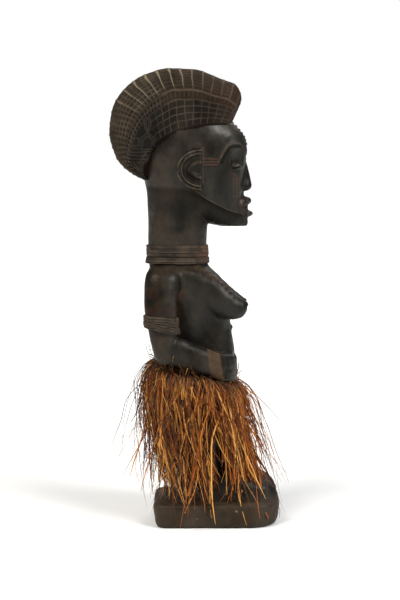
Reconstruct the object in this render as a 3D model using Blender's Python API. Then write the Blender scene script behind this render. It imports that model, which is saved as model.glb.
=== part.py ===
"""Standing woman carved with her base from one block of dark wood, in hide strips and a raffia skirt.

The figure faces -Y and its right hand is at -X. The origin is the middle of the base's underside.
"""

import math

import bmesh
import bpy
import numpy as np
from mathutils import Vector

# The base, in metres.
BASE_LENGTH = 0.196
BASE_WIDTH = 0.132
BASE_HEIGHT = 0.037
BASE_FRONT_CORNER = 0.046
BASE_BACK_CORNER = 0.020
BASE_EDGE = 0.005

# The figure from the top of its base to the top of its crest. It is a free form, so the tables below give
# its proportions in parts: FIGURE_HEIGHT is 663 of them, and a part is a millimetre at the real size.
FIGURE_HEIGHT = 0.663
PART = FIGURE_HEIGHT / 663

# The worn pieces, in metres.
FIT_GAP = 0.0004
NECK_STRIP_THICKNESS = 0.0030
NECK_STRIP_WIDTH = 0.0180
NECK_LAP_THICKNESS = 0.0030
NECK_LAP_WIDTH = 0.0095
ARMBAND_THICKNESS = 0.0026
ARMBAND_WIDTH = 0.0230
SKIRT_CORD_DIAMETER = 0.0070
SKIRT_TOP_THICKNESS = 0.0040
SKIRT_THICKNESS = 0.0090
SKIRT_HEM_HEIGHT = 0.032
SKIRT_LOCKS = 22
SKIRT_LOCK_DEPTH = 0.0050
SKIRT_HEM_DROP = 0.020

# The carving on the crest.
CREST_GROOVES = 15
CREST_GROOVE_WIDTH = 0.0032
CREST_GROOVE_DEPTH = 0.0016

# Trunk and neck: height, front, back, half width, squareness.
TRUNK = (
    (125, 2, 80, 44, 2.2),
    (155, -10, 92, 52, 2.3),
    (185, -19, 93, 52, 2.3),
    (210, -25, 87, 49, 2.3),
    (228, -28, 81, 45, 2.3),
    (250, -25, 79, 41, 2.3),
    (272, -21, 82, 40, 2.4),
    (300, -20, 90, 45, 2.5),
    (325, -16, 97, 51, 2.6),
    (342, -7, 101, 54, 2.6),
    (354, 5, 103, 54, 2.5),
    (360, 11, 104, 47, 2.4),
    (365, 14, 105, 39, 2.2),
    (374, 15, 106, 38, 2.2),
    (395, 16, 106, 38, 2.2),
    (430, 14, 106, 37, 2.2),
    (462, 13, 107, 37, 2.2),
    (495, 20, 110, 38, 2.2),
)

# Head without its features: height, front, back, where it is widest, half width, sharpness of the face.
HEAD = (
    (423, -46, -6, -26, 8, 2.0),
    (427, -48, 14, -18, 14, 2.0),
    (436, -47.5, 45, -4, 23, 1.9),
    (447, -45, 85, 8, 32, 1.9),
    (460, -43, 103, 20, 39, 1.9),
    (478, -41, 108, 30, 43, 2.0),
    (498, -41.5, 112, 36, 45, 2.1),
    (518, -44, 115, 38, 46, 2.2),
    (538, -46, 116, 38, 46, 2.3),
    (558, -42, 115, 40, 45, 2.3),
    (576, -29, 110, 42, 41, 2.2),
    (592, -8, 100, 45, 32, 2.1),
    (606, 22, 84, 52, 16, 2.0),
)

# The crest in side view, from the brow over the top to the nape: where it leaves the head, its ridge and
# its outer edge, each as (y, z), then the half widths at the hairline and at the ridge.
CREST = (
    ((-18, 577), (-26, 590), (-30, 597), 14, 16),
    ((-15, 577), (-29, 603), (-37, 618), 26, 34),
    ((-7, 577), (-21, 611), (-29, 637), 32, 45),
    ((12, 576), (4, 619), (-2, 648), 39, 51),
    ((34, 572), (34, 627), (36, 661), 43, 53),
    ((58, 566), (63, 628), (74, 663), 43, 53),
    ((77, 557), (86, 617), (110, 653), 42, 52),
    ((89, 549), (106, 602), (142, 630), 41, 51),
    ((99, 540), (122, 583), (160, 599), 40, 49),
    ((106, 528), (133, 558), (164, 566), 38, 46),
    ((110, 515), (138, 533), (155, 531), 35, 41),
    ((111, 504), (130, 512), (135, 507), 31, 34),
    ((108, 496), (114, 498), (114, 495), 24, 25),
)
CREST_HEART = (50, 530)

# Upper arm: height, front, back, middle in x, half width.
UPPER_ARM = (
    (217, 66, 86, 61, 10),
    (225, 60, 94, 62, 14),
    (240, 58, 98, 62, 15.5),
    (262, 60, 103, 61, 16),
    (285, 61, 108, 60, 16.5),
    (312, 60, 110, 58, 18),
    (335, 55, 110, 55, 20),
    (348, 55, 109, 51, 20),
    (358, 60, 105, 44, 18),
    (364, 70, 98, 38, 12),
)

# Forearm and hand, from the elbow forward: y, underside, top, middle in x, half width.
FOREARM = (
    (92, 224, 246, 62, 9),
    (80, 218, 256, 62, 14),
    (60, 212, 258, 62, 15),
    (40, 207, 251, 61, 15),
    (20, 201, 243, 58, 14),
    (3, 194, 234, 52, 13),
    (-8, 187, 231, 46, 13),
    (-18, 183, 229, 38, 12),
    (-27, 186, 226, 27, 10),
    (-32, 194, 219, 18, 6),
)

# Breast, from the chest to its tip: y, underside, top, middle in x, half width.
BREAST = (
    (34, 296, 357, 24, 19),
    (12, 286, 354, 26, 22),
    (-8, 282, 340, 27, 22),
    (-24, 281, 325, 28, 19),
    (-36, 284, 315, 29, 14),
    (-43, 290, 309, 30, 9),
    (-46, 296, 304, 30, 4),
)

# Leg: height, front, back, middle in x, half width.
LEG = (
    (14, -14, 36, 34, 17),
    (36, -10, 31, 33, 17),
    (52, -9, 32, 32, 18),
    (72, -9, 40, 31, 21),
    (95, -13, 46, 30, 23),
    (115, -15, 60, 29, 24),
    (140, -8, 74, 27, 24),
    (160, 2, 78, 25, 23),
)

# Foot: y, top, middle in x, half width. It starts inside the base.
FOOT = (
    (62, 16, 34, 8),
    (55, 33, 34, 15),
    (38, 44, 34, 19),
    (8, 48, 35, 21),
    (-22, 43, 35, 24),
    (-52, 37, 35, 25),
    (-70, 33, 33, 23),
    (-82, 27, 30, 20),
    (-91, 18, 27, 16),
    (-95, 9, 25, 10),
)
FOOT_SINK = 4
TOE_GROOVES = 4
# The cut between two toes: y, height of the foot there, how deep it goes, half width.
TOE_CUT = ((-58, 36, 2, 1.4), (-78, 30, 5, 2.4), (-90, 19, 8, 3.0), (-99, 6, 8, 3.2))

# Ear: its middle, half height, depth back from its flat front, and the relief from middle to rim.
EAR_Y, EAR_Z = 24, 509
EAR_HALF_HEIGHT = 31
EAR_DEPTH = 38
EAR_RELIEF = (
    (0.00, 5.5),
    (0.30, 8.5),
    (0.44, 5.0),
    (0.62, 5.5),
    (0.74, 10.0),
    (0.86, 8.0),
    (0.94, 9.5),
    (1.00, 5.0),
)

# Face, as (y, z) on the side of the head unless a comment says otherwise.
BROW = ((-2, 519), (-9, 535), (-20, 547), (-31, 549), (-39, 543), (-43.5, 533))
BROW_RADIUS = 1.7
EYE_Y, EYE_Z = -30, 516
EYE_SOCKET = (19, 21, 25)
EYE_BALL = (9, 11, 7.5)
TEMPLE_BARS = ((23, 0, 525), (23, 0, 517))
TEMPLE_KNOBS = ((23, 521), (-1, 521))
CHEEK_BARS = ((-25, 497, 469), (-30, 498, 469), (-35, 497, 470))
SCAR_RADIUS = 1.5
# Nose: height, how far forward, half width. Lips: height, how far forward, half width, half thickness.
NOSE = ((522, -45, 3.5), (508, -49, 5), (494, -52, 7), (485, -53.5, 9.5), (480, -51, 9.5), (477, -46, 7))
LIPS = ((462, -51.5, 15, 6.8), (442.5, -53.5, 14, 5.4))
MUZZLE_Z = 452
MUZZLE = (21, 14, 21)
FOREHEAD_KNOBS = 7
KNOB_RADIUS = 2.3
CHEST_KNOBS = 6
CHEST_KNOB_RADIUS = 1.8
# The row of knobs on each side of the chest, as (x, z) at its top and bottom.
CHEST_ROW = ((17, 358), (24, 318))
NAVEL_Z = 266

# Where the worn pieces lie.
ARMBAND_Z = 278
ARMBAND_TILT = -0.08
SKIRT_CORD_Z = 196
SKIRT_CORD_TILT = 0.30
SKIRT_CORD_Y = 35
NECK_LAP_LOW_Z = 366.8
# Outside of the skirt: share of its length, front, back, half width.
SKIRT = (
    (0.00, -27, 99, 59),
    (0.14, -40, 109, 67),
    (0.35, -52, 113, 74),
    (0.65, -62, 110, 78),
    (1.00, -76, 100, 80),
)

# Faces round each form, and along it.
TRUNK_SIDES, TRUNK_STEPS = 20, 16
HEAD_SIDES, HEAD_STEPS = 22, 14
LIMB_SIDES = 10
SKIRT_STEPS = 5
BAND_SIDES = 20


def clear_scene():
    for obj in list(bpy.data.objects):
        bpy.data.objects.remove(obj)


def rows_at(rows, key, wanted):
    """The rows of a table read at wanted values of one column, on smooth curves that never overshoot."""
    table = np.array(rows, float)
    table = table[np.argsort(table[:, key])]
    at = table[:, key]
    rises = np.diff(table, axis=0) / np.diff(at)[:, None]
    before, after = rises[:-1], rises[1:]
    slopes = np.vstack([rises[:1], np.zeros_like(before), rises[-1:]])
    same_way = before * after > 0
    slopes[1:-1][same_way] = (2 * before * after)[same_way] / (before + after)[same_way]
    wanted = np.clip(np.atleast_1d(np.asarray(wanted, float)), at[0], at[-1])
    low = np.clip(np.searchsorted(at, wanted, side="right") - 1, 0, len(at) - 2)
    gap = (at[low + 1] - at[low])[:, None]
    t = (wanted - at[low])[:, None] / gap
    return (
        (2 * t**3 - 3 * t**2 + 1) * table[low]
        + (t**3 - 2 * t**2 + t) * gap * slopes[low]
        + (3 * t**2 - 2 * t**3) * table[low + 1]
        + (t**3 - t**2) * gap * slopes[low + 1]
    )


def curve_at(points, wanted):
    """Points on a smooth curve through the given ones, at shares of it from 0 to 1."""
    shares = np.linspace(0, 1, len(points))
    table = np.column_stack([shares, np.array(points, float)])
    return rows_at(table, 0, wanted)[:, 1:]


def signed_power(value, power):
    return np.sign(value) * np.abs(value) ** power


def rounded_outline(sides, front, back, half_width, squareness=2.2, widest=None, front_squareness=None):
    """A closed outline seen from above, as (x, y): round at 2, squarer above it and sharper below it."""
    angle = 2 * math.pi * np.arange(sides) / sides
    middle = (front + back) / 2 if widest is None else widest
    ahead = np.cos(angle) > 0
    power = np.where(ahead, 2 / (front_squareness or squareness), 2 / squareness)
    reach = np.where(ahead, middle - front, back - middle)
    x = half_width * signed_power(np.sin(angle), power)
    y = middle - reach * signed_power(np.cos(angle), power)
    return np.column_stack([x, y])


def world(points):
    """Points in the figure's parts, as metres above the base."""
    return np.asarray(points, float) * PART + np.array([0, 0, BASE_HEIGHT])


def mesh_object(name, mesh):
    obj = bpy.data.objects.new(name, mesh)
    bpy.context.scene.collection.objects.link(obj)
    return obj


def skin(name, rings):
    """One closed body over a row of rings with the same number of points, with both ends filled."""
    bm = bmesh.new()
    loops = [[bm.verts.new(point) for point in ring] for ring in rings]
    sides = len(loops[0])
    for low, high in zip(loops, loops[1:]):
        for i in range(sides):
            j = (i + 1) % sides
            bm.faces.new((low[i], low[j], high[j], high[i]))
    bm.faces.new(loops[0])
    bm.faces.new(loops[-1])
    bmesh.ops.recalc_face_normals(bm, faces=bm.faces)
    mesh = bpy.data.meshes.new(name)
    bm.to_mesh(mesh)
    bm.free()
    return mesh_object(name, mesh)


def upright_form(name, rows, sides, steps, side=1):
    """A limb stacked in level rings, from rows of height, front, back, middle in x and half width."""
    heights = np.linspace(rows[0][0], rows[-1][0], steps)
    rings = []
    for z, front, back, middle, half in rows_at(rows, 0, heights):
        ring = rounded_outline(sides, front, back, half, 2.3)
        rings.append(world(np.column_stack([side * (ring[:, 0] + middle), ring[:, 1], np.full(sides, z)])))
    return skin(name, rings)


def forward_form(name, rows, sides, steps, side=1, squareness=2.3):
    """A form in rings that face forward, from rows of y, underside, top, middle in x and half width."""
    rings = []
    for y, low, high, middle, half in rows_at(rows, 0, np.linspace(rows[0][0], rows[-1][0], steps)):
        ring = rounded_outline(sides, low, high, half, squareness)
        rings.append(world(np.column_stack([side * (ring[:, 0] + middle), np.full(sides, y), ring[:, 1]])))
    return skin(name, rings)


def knob(name, centre, radii, segments=5, rings=3):
    """A small rounded knob, as an ellipsoid with its own three radii, all in parts."""
    bm = bmesh.new()
    bmesh.ops.create_uvsphere(bm, u_segments=segments, v_segments=rings, radius=1)
    for vert in bm.verts:
        vert.co = Vector(world([vert.co[i] * radii[i] + centre[i] for i in range(3)]))
    mesh = bpy.data.meshes.new(name)
    bm.to_mesh(mesh)
    bm.free()
    return mesh_object(name, mesh)


def bar(name, points, radius, sides=4):
    """A thin round ridge along a few points, all in parts, with its ends a little smaller."""
    points = np.array(points, float)
    tangents = np.gradient(points, axis=0)
    rings = []
    for i, (point, tangent) in enumerate(zip(points, tangents)):
        tangent = Vector(tangent).normalized()
        across = tangent.orthogonal().normalized()
        if i:
            across = (last - last.dot(tangent) * tangent).normalized()
        last = across
        other = tangent.cross(across)
        size = radius * (0.6 if i in (0, len(points) - 1) else 1.0)
        ring = []
        for k in range(sides):
            angle = 2 * math.pi * k / sides
            ring.append(world(point + size * np.array(math.cos(angle) * across + math.sin(angle) * other)))
        rings.append(ring)
    return skin(name, rings)


def trunk_row(z):
    return rows_at(TRUNK, 0, z)[0]


def head_side(y, z):
    """How far the side of the head stands out from the middle at this y and height."""
    _, front, back, widest, half, sharpness = rows_at(HEAD, 0, z)[0]
    if y < widest:
        share, power = (widest - y) / (widest - front), sharpness
    else:
        share, power = (y - widest) / (back - widest), 2.2
    return half * max(0.0, 1 - min(1.0, share) ** power) ** (1 / power)


def trunk():
    rings = []
    heights = np.linspace(TRUNK[0][0], TRUNK[-1][0], TRUNK_STEPS)
    heights = np.sort(np.concatenate([heights, [row[0] for row in TRUNK if 340 < row[0] < 400]]))
    for z, front, back, half, squareness in rows_at(TRUNK, 0, heights):
        ring = rounded_outline(TRUNK_SIDES, front, back, half, squareness)
        rings.append(world(np.column_stack([ring, np.full(TRUNK_SIDES, z)])))
    return skin("figure", rings)


def head():
    rings = []
    heights = np.linspace(HEAD[0][0], HEAD[-1][0], HEAD_STEPS)
    for z, front, back, widest, half, sharpness in rows_at(HEAD, 0, heights):
        ring = rounded_outline(HEAD_SIDES, front, back, half, 2.2, widest, sharpness)
        rings.append(world(np.column_stack([ring, np.full(HEAD_SIDES, z)])))
    return skin("head", rings)


def crest_point(share, across, side):
    """A point on the crest: share runs from brow to nape, across from hairline 0 by ridge 1 to middle 2."""
    flat = [(*low, *ridge, *edge, low_half, ridge_half) for low, ridge, edge, low_half, ridge_half in CREST]
    low_y, low_z, ridge_y, ridge_z, edge_y, edge_z, low_half, ridge_half = curve_at(flat, share)[0]
    low, ridge, edge = np.array([low_y, low_z]), np.array([ridge_y, ridge_z]), np.array([edge_y, edge_z])
    if across <= 1:
        in_plane = low + (ridge - low) * across
        x = low_half + (ridge_half - low_half) * across**1.6
    else:
        turn = (across - 1) * math.pi / 2
        in_plane = ridge + (edge - ridge) * math.sin(turn) ** 0.9
        x = ridge_half * math.cos(turn) ** 0.8
    return np.array([side * x, *in_plane])


def crest_vertex(share, across, side, depth):
    """The same point sunk into the crest by depth, square to its surface."""
    step = 0.004
    behind, ahead = max(0, share - step), min(1, share + step)
    below, above = max(0, across - step), min(1.999, across + step)
    along = crest_point(ahead, across, side) - crest_point(behind, across, side)
    over = crest_point(share, above, side) - crest_point(share, below, side)
    outward = np.cross(along, over) * side
    outward /= max(np.linalg.norm(outward), 1e-9)
    return crest_point(share, across, side) - outward * depth


def crest():
    """The coiffure: a thick roll whose outside is cut into squares by grooves round it and across it."""
    groove_half = CREST_GROOVE_WIDTH / 2 / PART
    groove_depth = CREST_GROOVE_DEPTH / PART
    middle_line = curve_at([ridge for _, ridge, *_ in CREST], np.linspace(0, 1, 40))
    line_length = np.linalg.norm(np.diff(middle_line, axis=0), axis=1).sum()
    share_half = groove_half / line_length
    stations = [(0.0, 0.0)]
    for k in range(CREST_GROOVES):
        centre = 0.07 + 0.86 * k / (CREST_GROOVES - 1)
        stations += [(centre - share_half, 0.0), (centre, 1.0), (centre + share_half, 0.0)]
    stations.append((1.0, 0.0))
    lines = (0, 0), (0.5, 0), (1, 0), (1.30, 0), (1.36, 1), (1.42, 0), (1.72, 0)
    rings = []
    for share, cut in stations:
        half = [
            crest_vertex(share, across, 1, groove_depth * max(cut * (0 < across), line))
            for across, line in lines
        ]
        top = crest_point(share, 2, 1)
        top[1:] -= groove_depth * cut * (top[1:] - CREST_HEART) / np.linalg.norm(top[1:] - CREST_HEART)
        low = crest_point(share, 0, 1)
        heart = np.array([0, *(low[1:] + 0.25 * (np.array(CREST_HEART) - low[1:]))])
        mirrored = [point * (-1, 1, 1) for point in reversed(half)]
        rings.append(world([heart, *half, top, *mirrored]))
    return skin("crest", rings)


def hairline_band(side):
    shares = np.linspace(0.04, 0.96, 15)
    points = [crest_point(share, 0, side) + np.array([side * 1.0, 0, -0.5]) for share in shares]
    return bar(f"hairline_band_{side}", points, 2.4)


def ear(side):
    """A half round ear with a rim, an inner ridge and a hollow, flat at its front edge."""
    turns = np.linspace(-math.pi / 2, math.pi / 2, 11)
    bm = bmesh.new()
    rows = []
    for share, stand_out in EAR_RELIEF[1:]:
        row = []
        for turn in turns:
            y = EAR_Y + EAR_DEPTH * share * math.cos(turn)
            z = EAR_Z + EAR_HALF_HEIGHT * share * math.sin(turn)
            row.append((head_side(y, z) + stand_out, y, z))
        rows.append(row)
    middle = (head_side(EAR_Y, EAR_Z) + EAR_RELIEF[0][1], EAR_Y, EAR_Z)
    buried = head_side(EAR_Y, EAR_Z) * 0.7
    make = lambda p: bm.verts.new(world([side * p[0], p[1], p[2]]))
    top = [[make(p) for p in row] for row in rows]
    centre = make(middle)
    floor = [make((buried, p[1], p[2])) for p in rows[-1]]
    floor_centre = make((buried, EAR_Y, EAR_Z))
    last = len(turns) - 1
    for i in range(last):
        bm.faces.new((centre, top[0][i], top[0][i + 1]))
        bm.faces.new((floor_centre, floor[i + 1], floor[i]))
        bm.faces.new((top[-1][i], floor[i], floor[i + 1], top[-1][i + 1]))
        for inner, outer in zip(top, top[1:]):
            bm.faces.new((inner[i], outer[i], outer[i + 1], inner[i + 1]))
    front = [row[0] for row in reversed(top)] + [centre] + [row[last] for row in top]
    bm.faces.new((*front, floor[last], floor_centre, floor[0]))
    bmesh.ops.recalc_face_normals(bm, faces=bm.faces)
    bmesh.ops.triangulate(bm, faces=bm.faces)
    mesh = bpy.data.meshes.new("ear")
    bm.to_mesh(mesh)
    bm.free()
    return mesh_object(f"ear_{side}", mesh)


def on_head(points, side, proud=0.0):
    return [(side * (head_side(y, z) + proud), y, z) for y, z in points]


def face_side(side):
    """The ridges, bars and knobs on one side of the face."""
    forms = [bar(f"brow_{side}", on_head(curve_at(BROW, np.linspace(0, 1, 9)), side), BROW_RADIUS)]
    for i, (back, front, z) in enumerate(TEMPLE_BARS):
        line = [(y, z) for y in np.linspace(back, front, 4)]
        forms.append(bar(f"temple_bar_{side}_{i}", on_head(line, side), SCAR_RADIUS))
    for i, (y, z) in enumerate(TEMPLE_KNOBS):
        forms.append(knob(f"temple_knob_{side}_{i}", on_head([(y, z)], side)[0], (KNOB_RADIUS,) * 3))
    for i, (y, high, low) in enumerate(CHEEK_BARS):
        line = [(y, z) for z in np.linspace(high, low, 4)]
        forms.append(bar(f"cheek_bar_{side}_{i}", on_head(line, side), SCAR_RADIUS))
    eye = (side * (head_side(EYE_Y, EYE_Z) - 7.0), EYE_Y + 3, EYE_Z)
    forms.append(knob(f"eye_{side}", eye, EYE_BALL, 12, 8))
    return forms


def eye_socket(side):
    centre = (side * (head_side(EYE_Y, EYE_Z) + 10.0), EYE_Y - 11, EYE_Z + 6)
    return knob(f"eye_socket_{side}", centre, EYE_SOCKET, 14, 10)


def nose():
    rings = []
    for z, front, half in NOSE:
        corners = (-half, front + 12), (-half * 0.45, front), (half * 0.45, front), (half, front + 12)
        rings.append(world([(x, y, z) for x, y in corners]))
    return skin("nose", rings)


def lips():
    """The mouth: two full lips on a rounded muzzle."""
    forms = [knob("muzzle", (0, -34, MUZZLE_Z), MUZZLE, 12, 8)]
    for i, (z, front, half, thick) in enumerate(LIPS):
        forms.append(knob(f"lip_{i}", (0, front + 8, z), (half, 10, thick), 10, 6))
    return forms


def forehead_knobs():
    """A row of knobs down the middle of the forehead, from the crest to the brow."""
    forms = []
    for i, z in enumerate(np.linspace(581, 549, FOREHEAD_KNOBS)):
        front = rows_at(HEAD, 0, z)[0][1]
        forms.append(knob(f"forehead_knob_{i}", (0, front, z), (KNOB_RADIUS, KNOB_RADIUS, KNOB_RADIUS)))
    return forms


def chest_front(x, z):
    """How far forward the chest or the breast is at this x and height."""
    _, front, back, half, squareness = trunk_row(z)
    reach = (back - front) / 2
    at = (front + back) / 2 - reach * max(0.0, 1 - (abs(x) / half) ** squareness) ** (1 / squareness)
    for y in np.arange(-45, 30, 1.0):
        _, low, high, middle, width = rows_at(BREAST, 0, y)[0]
        away = (abs(x - middle) / width) ** 2.1 + (abs(z - (low + high) / 2) / ((high - low) / 2)) ** 2.1
        if away < 1:
            return min(at, y)
    return at


def chest_knobs():
    """A row of small knobs down each side of the chest, and the navel."""
    forms = [knob("navel", (0, trunk_row(NAVEL_Z)[1], NAVEL_Z), (4, 3.2, 4), 7, 5)]
    for i, share in enumerate(np.linspace(0, 1, CHEST_KNOBS)):
        x, z = np.array(CHEST_ROW[0]) * (1 - share) + np.array(CHEST_ROW[1]) * share
        for side in (-1, 1):
            centre = (side * x, chest_front(x, z) + 0.3, z)
            forms.append(knob(f"chest_knob_{side}_{i}", centre, (CHEST_KNOB_RADIUS,) * 3))
    return forms


def foot(side):
    rows = [(y, -FOOT_SINK, top, middle, half) for y, top, middle, half in FOOT]
    return forward_form(f"foot_{side}", rows, LIMB_SIDES, 11, side, 2.8)


def toe_cuts(side):
    """Thin wedges that part the toes of one foot."""
    cuts = []
    _, top, middle, half = FOOT[5]
    for k in range(TOE_GROOVES):
        x = middle + half * (-0.62 + 0.40 * k)
        rings = []
        for y, high, depth, half in TOE_CUT:
            wedge = (x + half, high + 3), (x, high - depth), (x - half, high + 3)
            rings.append(world([(side * wedge_x, y, z) for wedge_x, z in wedge]))
        cuts.append(skin(f"toe_cut_{side}_{k}", rings))
    return cuts


def finger_cuts(side):
    """Thin wedges that part the fingers of one hand, laid along it."""
    cuts = []
    for k, z in enumerate((197, 207, 217)):
        rings = []
        for y, x in ((-17, 52), (-26, 42), (-35, 27), (-37, 16)):
            cut = (x, y, z + 1.6), (x - 4, y + 5, z), (x, y, z - 1.6)
            rings.append(world([(side * cut_x, cut_y, cut_z) for cut_x, cut_y, cut_z in cut]))
        cuts.append(skin(f"finger_cut_{side}_{k}", rings))
    return cuts


def base_outline(inset, z):
    """The base's outline at one height, inset evenly from its widest one."""
    length, width = BASE_LENGTH / 2 - inset, BASE_WIDTH / 2 - inset
    quarter = np.linspace(0, math.pi / 2, 7)
    points = []
    for sx, sy, corner in ((1, 1, BASE_BACK_CORNER), (-1, 1, BASE_BACK_CORNER),
                           (-1, -1, BASE_FRONT_CORNER), (1, -1, BASE_FRONT_CORNER)):
        radius = corner - inset
        for turn in quarter if sx * sy > 0 else quarter[::-1]:
            x = width - radius + radius * math.cos(turn)
            y = length - radius + radius * math.sin(turn)
            points.append((sx * x, sy * y, z))
    return points


def base():
    """The slab under the feet, rounder at its front corners than at its back ones."""
    edge = BASE_EDGE
    lower = (edge, 0), (0.3 * edge, 0.4 * edge), (0, 1.4 * edge)
    upper = (0, BASE_HEIGHT - edge), (0.3 * edge, BASE_HEIGHT - 0.3 * edge), (edge, BASE_HEIGHT)
    return skin("base", [base_outline(inset, z) for inset, z in (*lower, *upper)])


def helper(obj):
    """Marks a form that only adds to or cuts the figure."""
    obj.hide_render = True
    obj.display_type = "WIRE"


def gather(name, forms):
    collection = bpy.data.collections.new(name)
    bpy.context.scene.collection.children.link(collection)
    for obj in forms:
        helper(obj)
        bpy.context.scene.collection.objects.unlink(obj)
        collection.objects.link(obj)
    return collection


def boolean(obj, name, operation, collection):
    modifier = obj.modifiers.new(name, "BOOLEAN")
    modifier.operation = operation
    modifier.solver = "EXACT"
    modifier.operand_type = "COLLECTION"
    modifier.collection = collection


def figure(material):
    """The whole carving, one piece of wood: trunk and neck, head, crest, limbs and base."""
    body = trunk()
    added = [base(), head(), crest(), nose(), *lips(), *forehead_knobs(), *chest_knobs()]
    sockets, cuts = [], []
    for side in (-1, 1):
        added += [
            upright_form(f"upper_arm_{side}", UPPER_ARM, LIMB_SIDES, 11, side),
            forward_form(f"forearm_{side}", FOREARM, LIMB_SIDES, 12, side),
            forward_form(f"breast_{side}", BREAST, LIMB_SIDES + 2, 9, side, 2.1),
            upright_form(f"leg_{side}", LEG, LIMB_SIDES, 8, side),
            foot(side),
            ear(side),
            hairline_band(side),
            *face_side(side),
        ]
        sockets.append(eye_socket(side))
        cuts += [*toe_cuts(side), *finger_cuts(side)]
    head_form = next(obj for obj in added if obj.name == "head")
    boolean(head_form, "eye_sockets", "DIFFERENCE", gather("eye_sockets", sockets))
    boolean(body, "carved_forms", "UNION", gather("carved_forms", added))
    boolean(body, "carved_cuts", "DIFFERENCE", gather("carved_cuts", cuts))
    finish(body, material)


def finish(obj, material):
    obj.data.materials.clear()
    obj.data.materials.append(material)
    obj.data.shade_smooth()
    obj.data.set_sharp_from_angle(angle=math.radians(35))


def band(name, inner, outer, material):
    """A closed ring with a thickness, from matching loops on its inside and its outside, top to bottom."""
    bm = bmesh.new()
    loops = [[bm.verts.new(point) for point in loop] for loop in (*inner, *reversed(outer))]
    sides = len(loops[0])
    for low, high in zip(loops, loops[1:] + loops[:1]):
        for i in range(sides):
            j = (i + 1) % sides
            bm.faces.new((low[i], low[j], high[j], high[i]))
    bmesh.ops.recalc_face_normals(bm, faces=bm.faces)
    mesh = bpy.data.meshes.new(name)
    bm.to_mesh(mesh)
    bm.free()
    finish(mesh_object(name, mesh), material)


def neck_loop(z, offset):
    """A loop round the neck at height z, in parts, standing off its surface by an offset in metres."""
    _, front, back, half, squareness = trunk_row(z)
    grown = offset / PART
    ring = rounded_outline(BAND_SIDES, front - grown, back + grown, half + grown, squareness)
    return world(np.column_stack([ring, np.full(BAND_SIDES, z)]))


def neck_strips(material):
    """The strip of hide wound round the neck: a thicker lap on the shoulders and a wider turn above it."""
    lap = NECK_LAP_WIDTH / PART
    heights = NECK_LAP_LOW_Z, NECK_LAP_LOW_Z + lap / 2, NECK_LAP_LOW_Z + lap
    proud = [NECK_LAP_THICKNESS * share for share in (1.7, 1.4, 1.0)]
    inner = [neck_loop(z, FIT_GAP) for z in heights]
    band("neck_lap", inner, [neck_loop(z, FIT_GAP + out) for z, out in zip(heights, proud)], material)
    low = heights[-1] + FIT_GAP / PART
    heights = np.linspace(low, low + NECK_STRIP_WIDTH / PART, 3)
    inner = [neck_loop(z, FIT_GAP) for z in heights]
    band("neck_strip", inner, [neck_loop(z, FIT_GAP + NECK_STRIP_THICKNESS) for z in heights], material)


def arm_point(angle, z, offset):
    """A point round the upper arm, standing off it by offset metres, on a slightly tilted loop."""
    level = z
    for _ in range(4):
        _, front, back, middle, half = rows_at(UPPER_ARM, 0, z)[0]
        grown = offset / PART
        centre, reach = (front + back) / 2, (back - front) / 2 + grown
        x = middle + (half + grown) * signed_power(math.sin(angle), 2 / 2.3)
        y = centre - reach * signed_power(math.cos(angle), 2 / 2.3)
        z = level - ARMBAND_TILT * (y - centre)
    return x, y, z


def armband(name, side, material):
    """A strip of hide wound round the upper arm, thickest at its middle."""
    half = ARMBAND_WIDTH / 2 / PART
    angles = [2 * math.pi * k / BAND_SIDES for k in range(BAND_SIDES)]
    heights = [ARMBAND_Z - half, ARMBAND_Z - half / 3, ARMBAND_Z + half / 3, ARMBAND_Z + half]

    def loops(offsets):
        return [
            world([(side * x, y, h) for x, y, h in (arm_point(a, z, offset) for a in angles)])
            for z, offset in zip(heights, offsets)
        ]

    gap = 2 * FIT_GAP
    outer = [gap + ARMBAND_THICKNESS * share for share in (1.0, 1.3, 1.1, 0.8)]
    band(name, loops([gap] * 4), loops(outer), material)


def cord_height(y):
    """The skirt's cord lies higher at the back than under the belly."""
    return SKIRT_CORD_Z + SKIRT_CORD_TILT * (y - SKIRT_CORD_Y)


def hip_point(angle, offset):
    """A point on the tilted line of the skirt's cord round the hips, standing off them by offset metres."""
    z = SKIRT_CORD_Z
    for _ in range(6):
        _, front, back, half, squareness = trunk_row(z)
        grown = offset / PART
        middle, reach = (front + back) / 2, (back - front) / 2 + grown
        power = 2 / squareness
        x = (half + grown) * signed_power(math.sin(angle), power)
        y = middle - reach * signed_power(math.cos(angle), power)
        z = cord_height(y)
    return np.array([x, y, z])


def skirt_cord(material):
    """The cord that the skirt's fibres are tied to, laid round the hips."""
    radius = SKIRT_CORD_DIAMETER / 2
    sides = 8
    rings = []
    for k in range(BAND_SIDES):
        angle = 2 * math.pi * k / BAND_SIDES
        inside, outside = hip_point(angle, FIT_GAP), hip_point(angle, FIT_GAP + 2 * radius)
        middle, half = (inside + outside) / 2, (outside - inside) / 2
        up = np.array([0, 0, np.linalg.norm(half)])
        turns = [2 * math.pi * i / sides for i in range(sides)]
        rings.append([world(middle + half * math.cos(t) + up * math.sin(t)) for t in turns])
    bm = bmesh.new()
    loops = [[bm.verts.new(point) for point in ring] for ring in rings]
    for low, high in zip(loops, loops[1:] + loops[:1]):
        for i in range(sides):
            j = (i + 1) % sides
            bm.faces.new((low[i], low[j], high[j], high[i]))
    bmesh.ops.recalc_face_normals(bm, faces=bm.faces)
    mesh = bpy.data.meshes.new("skirt_cord")
    bm.to_mesh(mesh)
    bm.free()
    finish(mesh_object("skirt_cord", mesh), material)


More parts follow.
